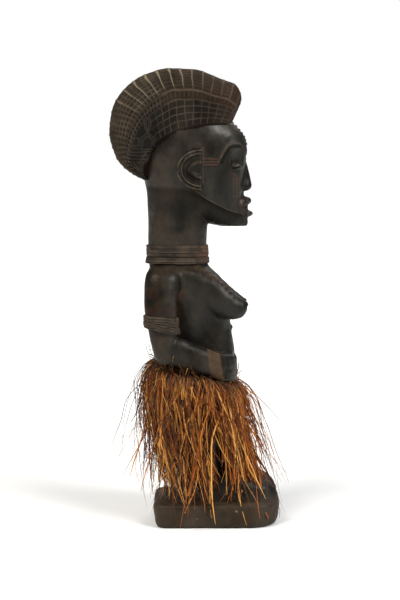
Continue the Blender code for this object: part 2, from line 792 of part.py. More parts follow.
def skirt_loop(share, inset):
    """A loop round the skirt, from cord (share 0) to hem (1), inside its outer face by inset metres."""
    sides = 2 * SKIRT_LOCKS
    _, front, back, half = rows_at(SKIRT, 0, share)[0]
    shrunk = inset / PART
    ring = rounded_outline(sides, front + shrunk, back - shrunk, half - shrunk, 2.2)
    middle = (front + back) / 2
    points = []
    for k, (x, y) in enumerate(ring):
        lock = 1 if k % 2 == 0 else -1
        fullness = 1 + lock * share**0.5 * SKIRT_LOCK_DEPTH / 2 / PART / max(1, math.hypot(x, y - middle))
        x, y = x * fullness, middle + (y - middle) * fullness
        top = cord_height(y) - SKIRT_CORD_DIAMETER * 0.62 / PART
        over_feet = 26 * max(0.0, (SKIRT_CORD_Y - y) / 100)
        hem = (SKIRT_HEM_HEIGHT - (lock + math.sin(2.1 * k)) * SKIRT_HEM_DROP / 4) / PART + over_feet
        points.append((x, y, top + (hem - top) * share))
    return world(points)


def skirt(material):
    """The raffia skirt, as one thick shell of hanging locks with a ragged hem."""
    shares = np.linspace(0, 1, SKIRT_STEPS) ** 1.3
    thick = SKIRT_TOP_THICKNESS + (SKIRT_THICKNESS - SKIRT_TOP_THICKNESS) * np.minimum(1, shares * 3)
    outer = [skirt_loop(share, 0) for share in shares]
    inner = [skirt_loop(share, inset) for share, inset in zip(shares, thick)]
    band("raffia_skirt", inner, outer, material)


def material(name, colour, roughness):
    made = bpy.data.materials.new(name)
    made.use_nodes = True
    shader = made.node_tree.nodes["Principled BSDF"]
    shader.inputs["Base Color"].default_value = (*colour, 1)
    shader.inputs["Roughness"].default_value = roughness
    shader.inputs["Metallic"].default_value = 0
    return made


def main():
    clear_scene()
    wood = material("dark_wood", (0.035, 0.028, 0.024), 0.5)
    hide = material("hide", (0.09, 0.06, 0.042), 0.8)
    raffia = material("raffia", (0.36, 0.14, 0.035), 0.75)
    figure(wood)
    neck_strips(hide)
    armband("armband_right", -1, hide)
    armband("armband_left", 1, hide)
    skirt_cord(raffia)
    skirt(raffia)


main()
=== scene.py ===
import math

import bpy
import numpy as np
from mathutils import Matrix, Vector, noise
from mathutils.bvhtree import BVHTree

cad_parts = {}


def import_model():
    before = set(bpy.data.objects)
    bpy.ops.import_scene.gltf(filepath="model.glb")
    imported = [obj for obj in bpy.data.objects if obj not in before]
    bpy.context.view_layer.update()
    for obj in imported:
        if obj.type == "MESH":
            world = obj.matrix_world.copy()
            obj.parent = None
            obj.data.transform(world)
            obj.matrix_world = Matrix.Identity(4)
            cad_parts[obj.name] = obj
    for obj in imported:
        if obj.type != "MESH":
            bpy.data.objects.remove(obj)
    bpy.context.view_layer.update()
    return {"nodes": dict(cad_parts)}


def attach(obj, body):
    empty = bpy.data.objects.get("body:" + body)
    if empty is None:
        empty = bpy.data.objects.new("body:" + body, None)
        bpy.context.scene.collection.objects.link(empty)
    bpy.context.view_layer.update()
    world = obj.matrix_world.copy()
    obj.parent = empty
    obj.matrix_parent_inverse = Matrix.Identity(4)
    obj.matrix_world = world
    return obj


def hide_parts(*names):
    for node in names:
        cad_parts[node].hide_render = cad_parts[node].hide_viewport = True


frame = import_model()

part = 0.001      # one unit of the tables below, in metres
baseTop = 0.037   # height of the slab that the figure stands on


def rowsAt(rows, key, wanted):
    # rows of a table read on smooth curves that never overshoot, as in the CAD source
    table = np.array(rows, float)
    table = table[np.argsort(table[:, key])]
    at = table[:, key]
    rises = np.diff(table, axis=0) / np.diff(at)[:, None]
    before, after = rises[:-1], rises[1:]
    slopes = np.vstack([rises[:1], np.zeros_like(before), rises[-1:]])
    sameWay = before * after > 0
    slopes[1:-1][sameWay] = (2 * before * after)[sameWay] / (before + after)[sameWay]
    wanted = np.clip(np.atleast_1d(np.asarray(wanted, float)), at[0], at[-1])
    low = np.clip(np.searchsorted(at, wanted, side="right") - 1, 0, len(at) - 2)
    gap = (at[low + 1] - at[low])[:, None]
    t = (wanted - at[low])[:, None] / gap
    return ((2 * t**3 - 3 * t**2 + 1) * table[low] + (t**3 - 2 * t**2 + t) * gap * slopes[low]
            + (3 * t**2 - 2 * t**3) * table[low + 1] + (t**3 - t**2) * gap * slopes[low + 1])


def curveAt(points, wanted):
    shares = np.linspace(0, 1, len(points))
    return rowsAt(np.column_stack([shares, np.array(points, float)]), 0, wanted)[:, 1:]


def signedPower(value, power):
    return np.sign(value) * np.abs(value) ** power


def roundedOutline(angle, front, back, halfWidth, squareness=2.2, widest=None, frontSquareness=None):
    middle = (front + back) / 2 if widest is None else widest
    ahead = np.cos(angle) > 0
    power = np.where(ahead, 2 / (frontSquareness or squareness), 2 / squareness)
    reach = np.where(ahead, middle - front, back - middle)
    x = halfWidth * signedPower(np.sin(angle), power)
    y = middle - reach * signedPower(np.cos(angle), power)
    return np.column_stack([x, y])


def turns(count):
    return 2 * math.pi * np.arange(count) / count


def smoothStep(value, low, high):
    t = np.clip((value - low) / (high - low), 0, 1)
    return t * t * (3 - 2 * t)


def bell(distance, width):
    return np.exp(-((distance / width) ** 2))


def between(value, rise, fall):
    # 1 between two smooth edges, each given as where it starts and ends
    return smoothStep(value, *rise) * (1 - smoothStep(value, *fall))


def world(points):
    return np.asarray(points, float) * part + (0, 0, baseTop)


def unit(vectors):
    return vectors / np.maximum(np.linalg.norm(vectors, axis=-1, keepdims=True), 1e-9)


def noiseAt(points, size, seed=0.0):
    # smooth noise from -1 to 1 at points in the tables' units, with lumps of about this size
    return np.array([noise.noise(Vector(p)) for p in points / size + seed])


class Forms:
    # closed forms gathered into one mesh
    def __init__(self):
        self.points, self.faces, self.count = [], [], 0

    def add(self, points, faces):
        self.points.append(np.asarray(points, float))
        self.faces += [[i + self.count for i in face] for face in faces]
        self.count += len(points)

    def loft(self, rings):
        rings = np.array(rings, float)
        count, sides = rings.shape[:2]
        faces = []
        for r in range(count - 1):
            for i in range(sides):
                j = (i + 1) % sides
                faces.append((r * sides + i, r * sides + j, (r + 1) * sides + j, (r + 1) * sides + i))
        for r, middle in ((0, count * sides), (count - 1, count * sides + 1)):
            for i in range(sides):
                pair = (r * sides + (i + 1) % sides, r * sides + i)
                faces.append((*(pair if r == 0 else pair[::-1]), middle))
        points = np.vstack([rings.reshape(-1, 3), rings[0].mean(0), rings[-1].mean(0)])
        self.add(points, faces)

    def ball(self, centre, radii, sides=24, steps=14):
        rings = []
        for tilt in np.linspace(0.06, math.pi - 0.06, steps):
            ring = np.column_stack([np.sin(tilt) * np.cos(turns(sides)), np.sin(tilt) * np.sin(turns(sides)),
                                    np.full(sides, math.cos(tilt))])
            rings.append(ring * radii + centre)
        self.loft(rings)

    def tube(self, line, radius, sides=10):
        line = np.array(line, float)
        radius = np.broadcast_to(np.asarray(radius, float), (len(line),))
        tangent = unit(np.gradient(line, axis=0))
        across = unit(np.cross(tangent, (0.3, 0.2, 0.93)))
        other = np.cross(tangent, across)
        around = turns(sides)[None, :, None]
        self.loft(line[:, None] + radius[:, None, None] * (np.cos(around) * across[:, None]
                                                           + np.sin(around) * other[:, None]))


def meshObject(name, points, faces, smooth=True):
    mesh = bpy.data.meshes.new(name)
    mesh.from_pydata([tuple(p) for p in points], [], [tuple(f) for f in faces])
    mesh.update()
    if smooth:
        mesh.shade_smooth()
    obj = bpy.data.objects.new(name, mesh)
    bpy.context.scene.collection.objects.link(obj)
    return obj


class Surface:
    # a mesh whose points are worked in the tables' units
    def __init__(self, obj):
        self.obj, mesh = obj, obj.data
        flat = np.empty(len(mesh.vertices) * 3, np.float32)
        mesh.vertices.foreach_get("co", flat)
        self.points = (flat.reshape(-1, 3).astype(float) - (0, 0, baseTop)) / part
        ends = np.empty(len(mesh.edges) * 2, np.int32)
        mesh.edges.foreach_get("vertices", ends)
        self.ends = ends.reshape(-1, 2)
        self.degree = np.maximum(np.bincount(ends, minlength=len(self.points)), 1)

    def average(self, values):
        # each point's neighbours, averaged
        a, b = self.ends.T
        columns = values.reshape(len(values), -1).T
        sums = [np.bincount(a, c[b], len(values)) + np.bincount(b, c[a], len(values)) for c in columns]
        return (np.array(sums) / self.degree).T.reshape(values.shape)

    def soften(self, times, strength=0.5, mask=None):
        weight = strength if mask is None else (strength * mask)[:, None]
        for _ in range(times):
            self.points = self.points + weight * (self.average(self.points) - self.points)

    def normals(self):
        self.write()
        flat = np.empty(len(self.points) * 3, np.float32)
        self.obj.data.vertex_normals.foreach_get("vector", flat)
        return flat.reshape(-1, 3).astype(float)

    def push(self, amount):
        # out along the surface's own direction
        self.points = self.points + self.normals() * amount[:, None]

    def lumps(self, *layers, mask=1.0):
        # unevenness all over, each layer with its amount, size and seed
        self.push(sum(amount * noiseAt(self.points, size, seed) for amount, size, seed in layers) * mask)

    def near(self, line):
        # distance from each point to a line through the given points
        line = np.array(line, float)
        low, high = line.min(0) - 15, line.max(0) + 15
        inside = np.flatnonzero(((self.points > low) & (self.points < high)).all(1))
        best = np.full(len(self.points), 99.0)
        found, spots = np.full(len(inside), 99.0), self.points[inside]
        for a, b in zip(line, line[1:]):
            along = b - a
            t = np.clip((spots - a) @ along / max(along @ along, 1e-9), 0, 1)
            found = np.minimum(found, np.linalg.norm(spots - a - t[:, None] * along, axis=1))
        best[inside] = found
        return best

    def line(self, line, height, width):
        # a raised or sunk line on the surface, as the amount to push
        return height * bell(self.near(line), width)

    def write(self):
        self.obj.data.vertices.foreach_set("co", world(self.points).astype(np.float32).ravel())
        self.obj.data.update()

    def paint(self, name, values):
        layer = self.obj.data.attributes.new(name, "FLOAT", "POINT")
        layer.data.foreach_set("value", np.clip(values, 0, 1).astype(np.float32))

    def paintWear(self, fine=3, broad=14, paintedShade=0.0):
        # edges that hands have rubbed, and hollows where grime stays, with the painted shade that is given added
        normal, points = self.normals(), self.points
        soft = points
        for i in range(broad):
            soft = soft + 0.5 * (self.average(soft) - soft)
            if i == fine - 1:
                small = ((points - soft) * normal).sum(1)
        large = ((points - soft) * normal).sum(1)
        step = np.linalg.norm(points[self.ends[:, 0]] - points[self.ends[:, 1]], axis=1).mean()
        self.paint("wear", 0.6 * (smoothStep(small / step, 0.04, 0.30) + smoothStep(large / step, 0.1, 0.9)))
        self.paint("hollow", np.maximum(smoothStep(-large / step, 0.05, 0.8), paintedShade))


def remeshed(name, forms, size, soften):
    # the gathered forms carved out of one block
    obj = meshObject(name, world(np.vstack(forms.points)), forms.faces)
    join = obj.modifiers.new("join", "REMESH")
    join.mode, join.voxel_size, join.adaptivity = "VOXEL", size * part, 0
    smooth = obj.modifiers.new("soften", "SMOOTH")
    smooth.factor, smooth.iterations = 0.5, soften
    mesh = bpy.data.meshes.new_from_object(obj.evaluated_get(bpy.context.evaluated_depsgraph_get()))
    old = obj.data
    obj.modifiers.clear()
    obj.data = mesh
    bpy.data.meshes.remove(old)
    mesh.name = name
    mesh.shade_smooth()
    return Surface(obj)


class Value:
    # one socket of a material's nodes; + - and * between values add Math nodes
    def __init__(self, tree, out=None):
        self.tree, self.out = tree, out

    def node(self, kind, settings=None, inputs=None, output=0):
        made = self.tree.nodes.new(kind)
        for name, value in (settings or {}).items():
            if name == "stops":
                ramp = made.color_ramp
                while len(ramp.elements) < len(value):
                    ramp.elements.new(0.5)
                for element, (position, colour) in zip(ramp.elements, value):
                    element.position, element.color = position, colour
            else:
                setattr(made, name, value)
        for name, value in (inputs or {}).items():
            if isinstance(value, Value):
                self.tree.links.new(value.out, made.inputs[name])
            else:
                made.inputs[name].default_value = value
        return Value(self.tree, made.outputs[output])

    def maths(self, operation, first, second=0.0, clamp=False):
        return self.node("ShaderNodeMath", {"operation": operation, "use_clamp": clamp}, {0: first, 1: second})

    def __add__(self, other): return self.maths("ADD", self, other)
    def __radd__(self, other): return self.maths("ADD", other, self)
    def __sub__(self, other): return self.maths("SUBTRACT", self, other)
    def __rsub__(self, other): return self.maths("SUBTRACT", other, self)
    def __mul__(self, other): return self.maths("MULTIPLY", self, other)
    def __rmul__(self, other): return self.maths("MULTIPLY", other, self)

    def clamped(self): return self.maths("ADD", self, 0.0, True)

    def band(self, low, high):
        # 0 below low, 1 above high, smooth between
        return self.node("ShaderNodeMapRange", {"interpolation_type": "SMOOTHSTEP"},
                         {"Value": self, "From Min": low, "From Max": high})

    def noise(self, scale, detail, roughness, stretch=None):
        where = self.node("ShaderNodeTexCoord", output=3)
        if stretch:
            where = self.node("ShaderNodeVectorMath", {"operation": "MULTIPLY"}, {0: where, 1: stretch})
        return self.node("ShaderNodeTexNoise", inputs={"Vector": where, "Scale": scale, "Detail": detail,
                                                       "Roughness": roughness})

    def mix(self, mask, first, second):
        return self.node("ShaderNodeMix", {"data_type": "RGBA"}, {0: mask, 6: first, 7: second}, 2)

    def attribute(self, name):
        return self.node("ShaderNodeAttribute", {"attribute_name": name}, output=2)

    def facing(self, axis):
        # how far the surface faces along one axis of the object
        normal = self.node("ShaderNodeNewGeometry", output=1)
        return self.node("ShaderNodeSeparateXYZ", inputs={0: normal}, output=axis)


def newMaterial(name, still):
    # a material whose Principled sockets in still are the same all over
    made = bpy.data.materials.new(name)
    made.use_nodes = True
    shader = made.node_tree.nodes["Principled BSDF"]
    for socket, value in still.items():
        shader.inputs[socket].default_value = value
    return made, Value(made.node_tree), shader


def join(tree, value, socket):
    tree.links.new(value.out, socket)


def finishMaterial(paint, shader, colour, roughness, height, bumpDistance, bumpStrength):
    bump = paint.node("ShaderNodeBump", inputs={"Strength": bumpStrength, "Distance": bumpDistance,
                                                "Height": height})
    for value, name in ((colour, "Base Color"), (roughness, "Roughness"), (bump, "Normal")):
        join(paint.tree, value, shader.inputs[name])


def rgb(red, green, blue):
    # a colour as picked on screen, 0 to 255
    return tuple(((c / 255 + 0.055) / 1.055) ** 2.4 if c > 10 else c / 3295 for c in (red, green, blue)) + (1,)


wood = {
    "deep": rgb(9, 8, 6), "body": rgb(29, 24, 18), "blue": rgb(17, 18, 17), "brown": rgb(43, 34, 26),
    "dusty": rgb(62, 54, 42), "worn": rgb(96, 82, 68), "rust": rgb(92, 50, 31), "chalk": rgb(146, 135, 110),
    "earth": rgb(80, 64, 49), "line": rgb(104, 94, 80), "sheen": (1, 0.9, 0.76, 1),
    "grainSize": 150, "grainStretch": (1, 1, 0.09),
}


def woodMaterial(name, specular, wax, cutLines=None):
    made, paint, shader = newMaterial(name, {"Specular IOR Level": specular, "Specular Tint": wood["sheen"],
                                             "Coat Roughness": 0.40})
    wear, hollow, polish = (paint.attribute(layer) for layer in ("wear", "hollow", "polish"))
    chalk, earth, rust = (paint.attribute(layer) for layer in ("chalk", "earth", "rust"))
    blotch = paint.noise(11, 4, 0.6)
    cloud = paint.noise(26, 5, 0.62)
    grain = paint.noise(wood["grainSize"], 5, 0.65, stretch=wood["grainStretch"])
    speck = paint.noise(800, 3, 0.6)
    tone = (blotch * 0.6 + cloud * 0.75 + grain * 0.12).band(0.56, 0.92)
    # painted shade and a painted bluish reflection on the front half; towards the back browner and lighter, partly
    # the wood's own colour and partly painted light
    forward = paint.attribute("forward")
    colour = paint.mix(tone * (1 - forward * 0.5), wood["deep"], wood["body"])
    # painted bluish reflection on the front
    colour = paint.mix(blotch.band(0.42, 0.58) * forward * 0.8, colour, wood["blue"])
    colour = paint.mix((1 - forward) * cloud.band(0.35, 0.62) * 0.55, colour, wood["brown"])
    # a dusty film, kept thinner on the front as painted shade
    film = (cloud * 0.9 + grain * 0.22).band(0.50, 0.78) * (0.28 - forward * 0.16)
    colour = paint.mix(film, colour, wood["dusty"])
    # years of handling: darker and paler patches drawn out along the grain
    patch = paint.noise(21, 4, 0.58, stretch=(1, 1, 0.45))
    colour = paint.mix(patch.band(0.54, 0.34) * 0.45, colour, wood["deep"])
    colour = paint.mix(patch.band(0.50, 0.70) * (0.34 - forward * 0.16), colour, wood["dusty"])
    # painted highlight on the forehead, drawn towards the paler colour
    colour = paint.mix(polish * 0.35, colour, wood["dusty"])
    rub = ((wear * (0.5 + cloud)).band(0.38, 0.95) * (0.35 + grain * 0.9)).clamped()
    colour = paint.mix(rub * 0.5, colour, wood["worn"])
    # hollows darkened: grime, and on the head painted shade
    colour = paint.mix(hollow * 0.75, colour, wood["deep"])
    # earthy colour, and on the breasts a painted highlight
    colour = paint.mix((earth * (0.45 + cloud)).clamped() * 0.85, colour, wood["earth"])
    colour = paint.mix((rust * (0.35 + grain * 0.8 + cloud * 0.4)).clamped() * 0.65, colour, wood["rust"])
    dust = paint.facing(2).band(0.5, 1.0) * cloud.band(0.40, 0.75) * 0.30
    colour = paint.mix(dust, colour, wood["earth"])
    # pale chalk, and on the head painted highlights along the ear rims
    chalkAndHighlightMix = (chalk * (0.45 + speck * 0.7 + cloud * 0.3)).band(0.22, 0.85)
    colour = paint.mix(chalkAndHighlightMix * 0.9, colour, wood["chalk"])
    roughness = 0.34 + cloud * 0.22 + grain * 0.06 + chalkAndHighlightMix * 0.3 + hollow * 0.25 + earth * 0.25
    coat = (wax * patch.band(0.34, 0.60) + polish * 0.5) * (1 - earth) * (1 - hollow)
    join(made.node_tree, coat.clamped(), shader.inputs["Coat Weight"])
    # grain, pores and the flats that the knife left
    height = grain * 0.16 + speck * 0.12 + cloud * 0.9 + paint.noise(75, 1.5, 0.5) * 4.0
    if cutLines:
        colour, height, roughness = cutLines(paint, colour, height, roughness, cloud)
    finishMaterial(paint, shader, colour, roughness.clamped(), height, 0.0008, 0.8)
    return made


darkWood = woodMaterial("darkWood", specular=0.13, wax=0.34)
print("wood material ready")

trunkRows = (  # height, front, back, half width, squareness
    (125, 2, 80, 44, 2.2), (155, -10, 92, 52, 2.3), (185, -19, 93, 52, 2.3), (210, -25, 87, 49, 2.3),
    (228, -28, 81, 45, 2.3), (250, -25, 79, 41, 2.3), (272, -21, 82, 40, 2.4), (300, -20, 90, 45, 2.5),
    (325, -16, 97, 51, 2.6), (342, -7, 101, 54, 2.6), (354, 5, 103, 54, 2.5), (360, 11, 104, 47, 2.4),
    (365, 14, 105, 39, 2.2), (374, 15, 106, 38, 2.2), (395, 16, 106, 38, 2.2), (430, 14, 106, 37, 2.2),
    (462, 13, 107, 37, 2.2), (495, 20, 110, 38, 2.2),
)
headRows = (  # height, front, back, widest, half width, sharpness of the face
    (423, -46, -6, -26, 8, 2.0), (427, -48, 14, -18, 14, 2.0), (436, -47.5, 45, -4, 23, 1.9),
    (447, -45, 85, 8, 32, 1.9), (460, -43, 103, 20, 39, 1.9), (478, -41, 108, 30, 43, 2.0),
    (498, -41.5, 112, 36, 45, 2.1), (518, -44, 115, 38, 46, 2.2), (538, -46, 116, 38, 46, 2.3),
    (558, -42, 115, 40, 45, 2.3), (576, -29, 110, 42, 41, 2.2), (592, -8, 100, 45, 32, 2.1),
    (606, 22, 84, 52, 16, 2.0),
)
upperArmRows = (  # height, front, back, middle in x, half width
    (217, 66, 86, 61, 10), (225, 60, 94, 62, 14), (240, 58, 98, 62, 15.5), (262, 60, 103, 61, 16),
    (285, 61, 108, 60, 16.5), (312, 60, 110, 58, 18), (335, 55, 110, 55, 20), (348, 55, 109, 51, 20),
    (358, 60, 105, 44, 18), (364, 70, 98, 38, 12),
)
forearmRows = (  # y, underside, top, middle in x, half width
    (92, 224, 246, 62, 9), (80, 218, 256, 62, 14), (60, 212, 258, 62, 15), (40, 207, 251, 61, 15),
    (20, 201, 243, 58, 14), (3, 194, 234, 52, 13), (-8, 187, 231, 46, 13), (-18, 183, 229, 38, 12),
    (-27, 186, 226, 27, 10), (-32, 194, 219, 18, 6),
)
breastRows = (  # y, underside, top, middle in x, half width
    (34, 296, 357, 24, 19), (12, 286, 354, 26, 22), (-8, 282, 340, 27, 22), (-24, 281, 325, 28, 19),
    (-36, 284, 315, 29, 14), (-43, 290, 309, 30, 9), (-46, 296, 304, 30, 4),
)
legRows = (  # height, front, back, middle in x, half width
    (14, -14, 36, 34, 17), (36, -10, 31, 33, 17), (52, -9, 32, 32, 18), (72, -9, 40, 31, 21),
    (95, -13, 46, 30, 23), (115, -15, 60, 29, 24), (140, -8, 74, 27, 24), (160, 2, 78, 25, 23),
)
footRows = (  # y, top, middle in x, half width
    (62, 16, 34, 8), (55, 33, 34, 15), (38, 44, 34, 19), (8, 48, 35, 21), (-22, 43, 35, 24),
    (-52, 37, 35, 25), (-70, 33, 33, 23), (-82, 27, 30, 20), (-91, 18, 27, 16), (-95, 9, 25, 10),
)


def uprightRings(rows, side, sides=36, steps=40):
    rings = []
    for z, front, back, middle, half in rowsAt(rows, 0, np.linspace(rows[0][0], rows[-1][0], steps)):
        ring = roundedOutline(turns(sides), front, back, half, 2.3)
        rings.append(np.column_stack([side * (ring[:, 0] + middle), ring[:, 1], np.full(sides, z)]))
    return rings


def forwardRings(rows, side, squareness=2.3, sides=36, steps=40):
    rings = []
    for y, low, high, middle, half in rowsAt(rows, 0, np.linspace(rows[0][0], rows[-1][0], steps)):
        ring = roundedOutline(turns(sides), low, high, half, squareness)
        rings.append(np.column_stack([side * (ring[:, 0] + middle), np.full(sides, y), ring[:, 1]]))
    return rings


def trunkRings(low, high, sides=64):
    rings = []
    for z, front, back, half, squareness in rowsAt(trunkRows, 0, np.arange(low, high + 1, 2.5)):
        rings.append(np.column_stack([roundedOutline(turns(sides), front, back, half, squareness),
                                      np.full(sides, z)]))
    return rings


def headSide(y, z):
    # how far the side of the head stands out from the middle
    _, front, back, widest, half, sharpness = rowsAt(headRows, 0, z)[0]
    ahead = y < widest
    share = (widest - y) / (widest - front) if ahead else (y - widest) / (back - widest)
    power = sharpness if ahead else 2.2
    return half * max(0.0, 1 - min(1.0, share) ** power) ** (1 / power)


def onHead(points, side, proud=0.0):
    return [(side * (headSide(y, z) + proud), y, z) for y, z in points]


def woodPiece(surface, name, finish=None):
    surface.write()
    points = surface.points
    # painted light and shade: forward marks the front of each piece, painted darker, and leaves the back, painted
    # lighter
    surface.paint("forward", smoothStep(0.4 * noiseAt(points, 35, 6) - (points[:, 1] - 45) / 60, -0.6, 0.9))
    obj = surface.obj
    obj.name = name
    obj.data.materials.clear()
    obj.data.materials.append(finish or darkWood)
    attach(obj, "root")
    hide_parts("figure")
    print(name, "faces", len(obj.data.polygons))


face = {
    "voxel": 1.2, "ear": (24, 509), "earHeight": 31, "earDepth": 38,
    "earRelief": ((0, 4.0), (0.22, 5.0), (0.34, 9.0), (0.42, 8.6), (0.50, 4.6), (0.62, 4.4), (0.72, 5.6),
                  (0.76, 9.6), (0.82, 9.8), (0.855, 6.8), (0.885, 6.8), (0.92, 10.0), (0.97, 9.6), (1.0, 6.0)),
    "brow": ((-2, 519), (-9, 535), (-20, 547), (-31, 549), (-39, 543), (-43.5, 533)),
    "eye": (-30, 516), "socket": (21, 21, 26), "eyeball": (9, 11, 7.5),
    "nose": ((522, -45, 3.5), (508, -49, 5), (494, -52, 7), (485, -53.5, 9.5), (480, -51, 9.5), (477, -46, 7)),
    "lips": ((462, -51.5, 15, 6.8), (442.5, -53.5, 14, 5.4)),
    "temple": (525, 520.8, 516.6), "cheek": ((-25, 497), (-29.5, 498), (-34, 497)),
    "slit": ((-9, 1.4), (-4, -0.3), (0, -0.9), (5, -0.3), (9, 1.2)),   # the closed eye, from its middle
    "redRubbed": ((0.24, ((-24, 502), (-28, 494)), 6), (0.22, ((-38, 462), (-44, 448)), 10)),
    "seam": (22, 489, 541), "foreheadKnobs": 7, "polish": (-2, 568), "earRimHighlights": (0.775, 0.945), "jawDepth": 4.8,
    "jaw": ((-44, 440, 1), (-35, 442, 1), (-13.5, 449, 1), (14.4, 463.5, 1), (30, 474, 0.9), (39, 480, 0.45),
            (60, 483, 0.3), (80, 484, 0.3), (106, 487, 0.25)),
}


def earForm(forms, side):
    y0, z0 = face["ear"]
    shares = np.concatenate([[0.02], np.linspace(0.06, 1, 46)])
    around = np.linspace(-math.pi / 2, math.pi / 2, 56)
    relief = rowsAt(face["earRelief"], 0, shares)[:, 1]
    outer, inner = [], []
    for share, standOut in zip(shares, relief):
        row = []
        for turn in around:
            vee = 0.14 * max(0.0, 1 - abs(share - 0.38) / 0.22) * (1 - abs(math.sin(turn)))
            y = y0 + face["earDepth"] * (share + vee) * math.cos(turn)
            z = z0 + face["earHeight"] * share * math.sin(turn)
            row.append((side * (headSide(y, z) + standOut), y, z))
        outer.append(row)
        inner.append([(x * 0.6, y, z) for x, y, z in row])
    # the outside and the inside joined into one closed form: rings run across the ear
    rings = [outer[i] + inner[i][::-1] for i in range(len(outer))]
    forms.loft(rings)


def headForms():
    forms = Forms()
    sides = 150
    rings = []
    for z, front, back, widest, half, sharpness in rowsAt(headRows, 0, np.linspace(423, 606, 130)):
        ring = np.column_stack([roundedOutline(turns(sides), front, back, half, 2.2, widest, sharpness),
                                np.full(sides, z)])
        rings.append(ring)
    rings = np.array(rings)
    eyeY, eyeZ = face["eye"]
    rx, ry, rz = face["socket"]
    cx, cy, cz = headSide(eyeY, eyeZ) + 10, eyeY - 11, eyeZ + 6
    across = 1 - ((rings[..., 1] - cy) / ry) ** 2 - ((rings[..., 2] - cz) / rz) ** 2
    floor = cx - rx * np.sqrt(np.maximum(across, 0))
    sunk = (across > 0) & (np.abs(rings[..., 0]) > floor)
    rings[..., 0] = np.where(sunk, np.sign(rings[..., 0]) * floor, rings[..., 0])
    forms.loft(rings)
    forms.loft(trunkRings(379, 495))
    noseRings = []
    for z, front, half in curveAt(face["nose"], np.linspace(0, 1, 24)):
        noseRings.append(np.column_stack([roundedOutline(turns(24), front, front + 22, half, 2.3),
                                          np.full(24, z)]))
    forms.loft(noseRings)
    forms.ball((0, -34, 452), (21, 14, 21))
    for z, front, half, thick in face["lips"]:
        forms.ball((0, front + 8, z), (half, 10, thick))
    for z in np.linspace(581, 549, face["foreheadKnobs"]):
        forms.ball((0, rowsAt(headRows, 0, z)[0][1], z), (2.3, 2.3, 2.3), 12, 8)
    for side in (-1, 1):
        earForm(forms, side)
        forms.tube(onHead(curveAt(face["brow"], np.linspace(0, 1, 30)), side, 0.3), 1.9)
        for z in face["temple"]:
            forms.tube(onHead([(y, z) for y in np.linspace(22, 0, 12)], side), 1.0)
        for y in (23, -1):
            forms.ball(onHead([(y, 520.8)], side)[0], (2.2, 2.6, 3.0), 12, 8)
        for y, high in face["cheek"]:
            forms.tube(onHead([(y, z) for z in np.linspace(high, 469, 12)], side), 1.1)
        forms.ball((side * (headSide(eyeY, eyeZ) - 7), eyeY + 3, eyeZ - 1), face["eyeball"])
    return forms


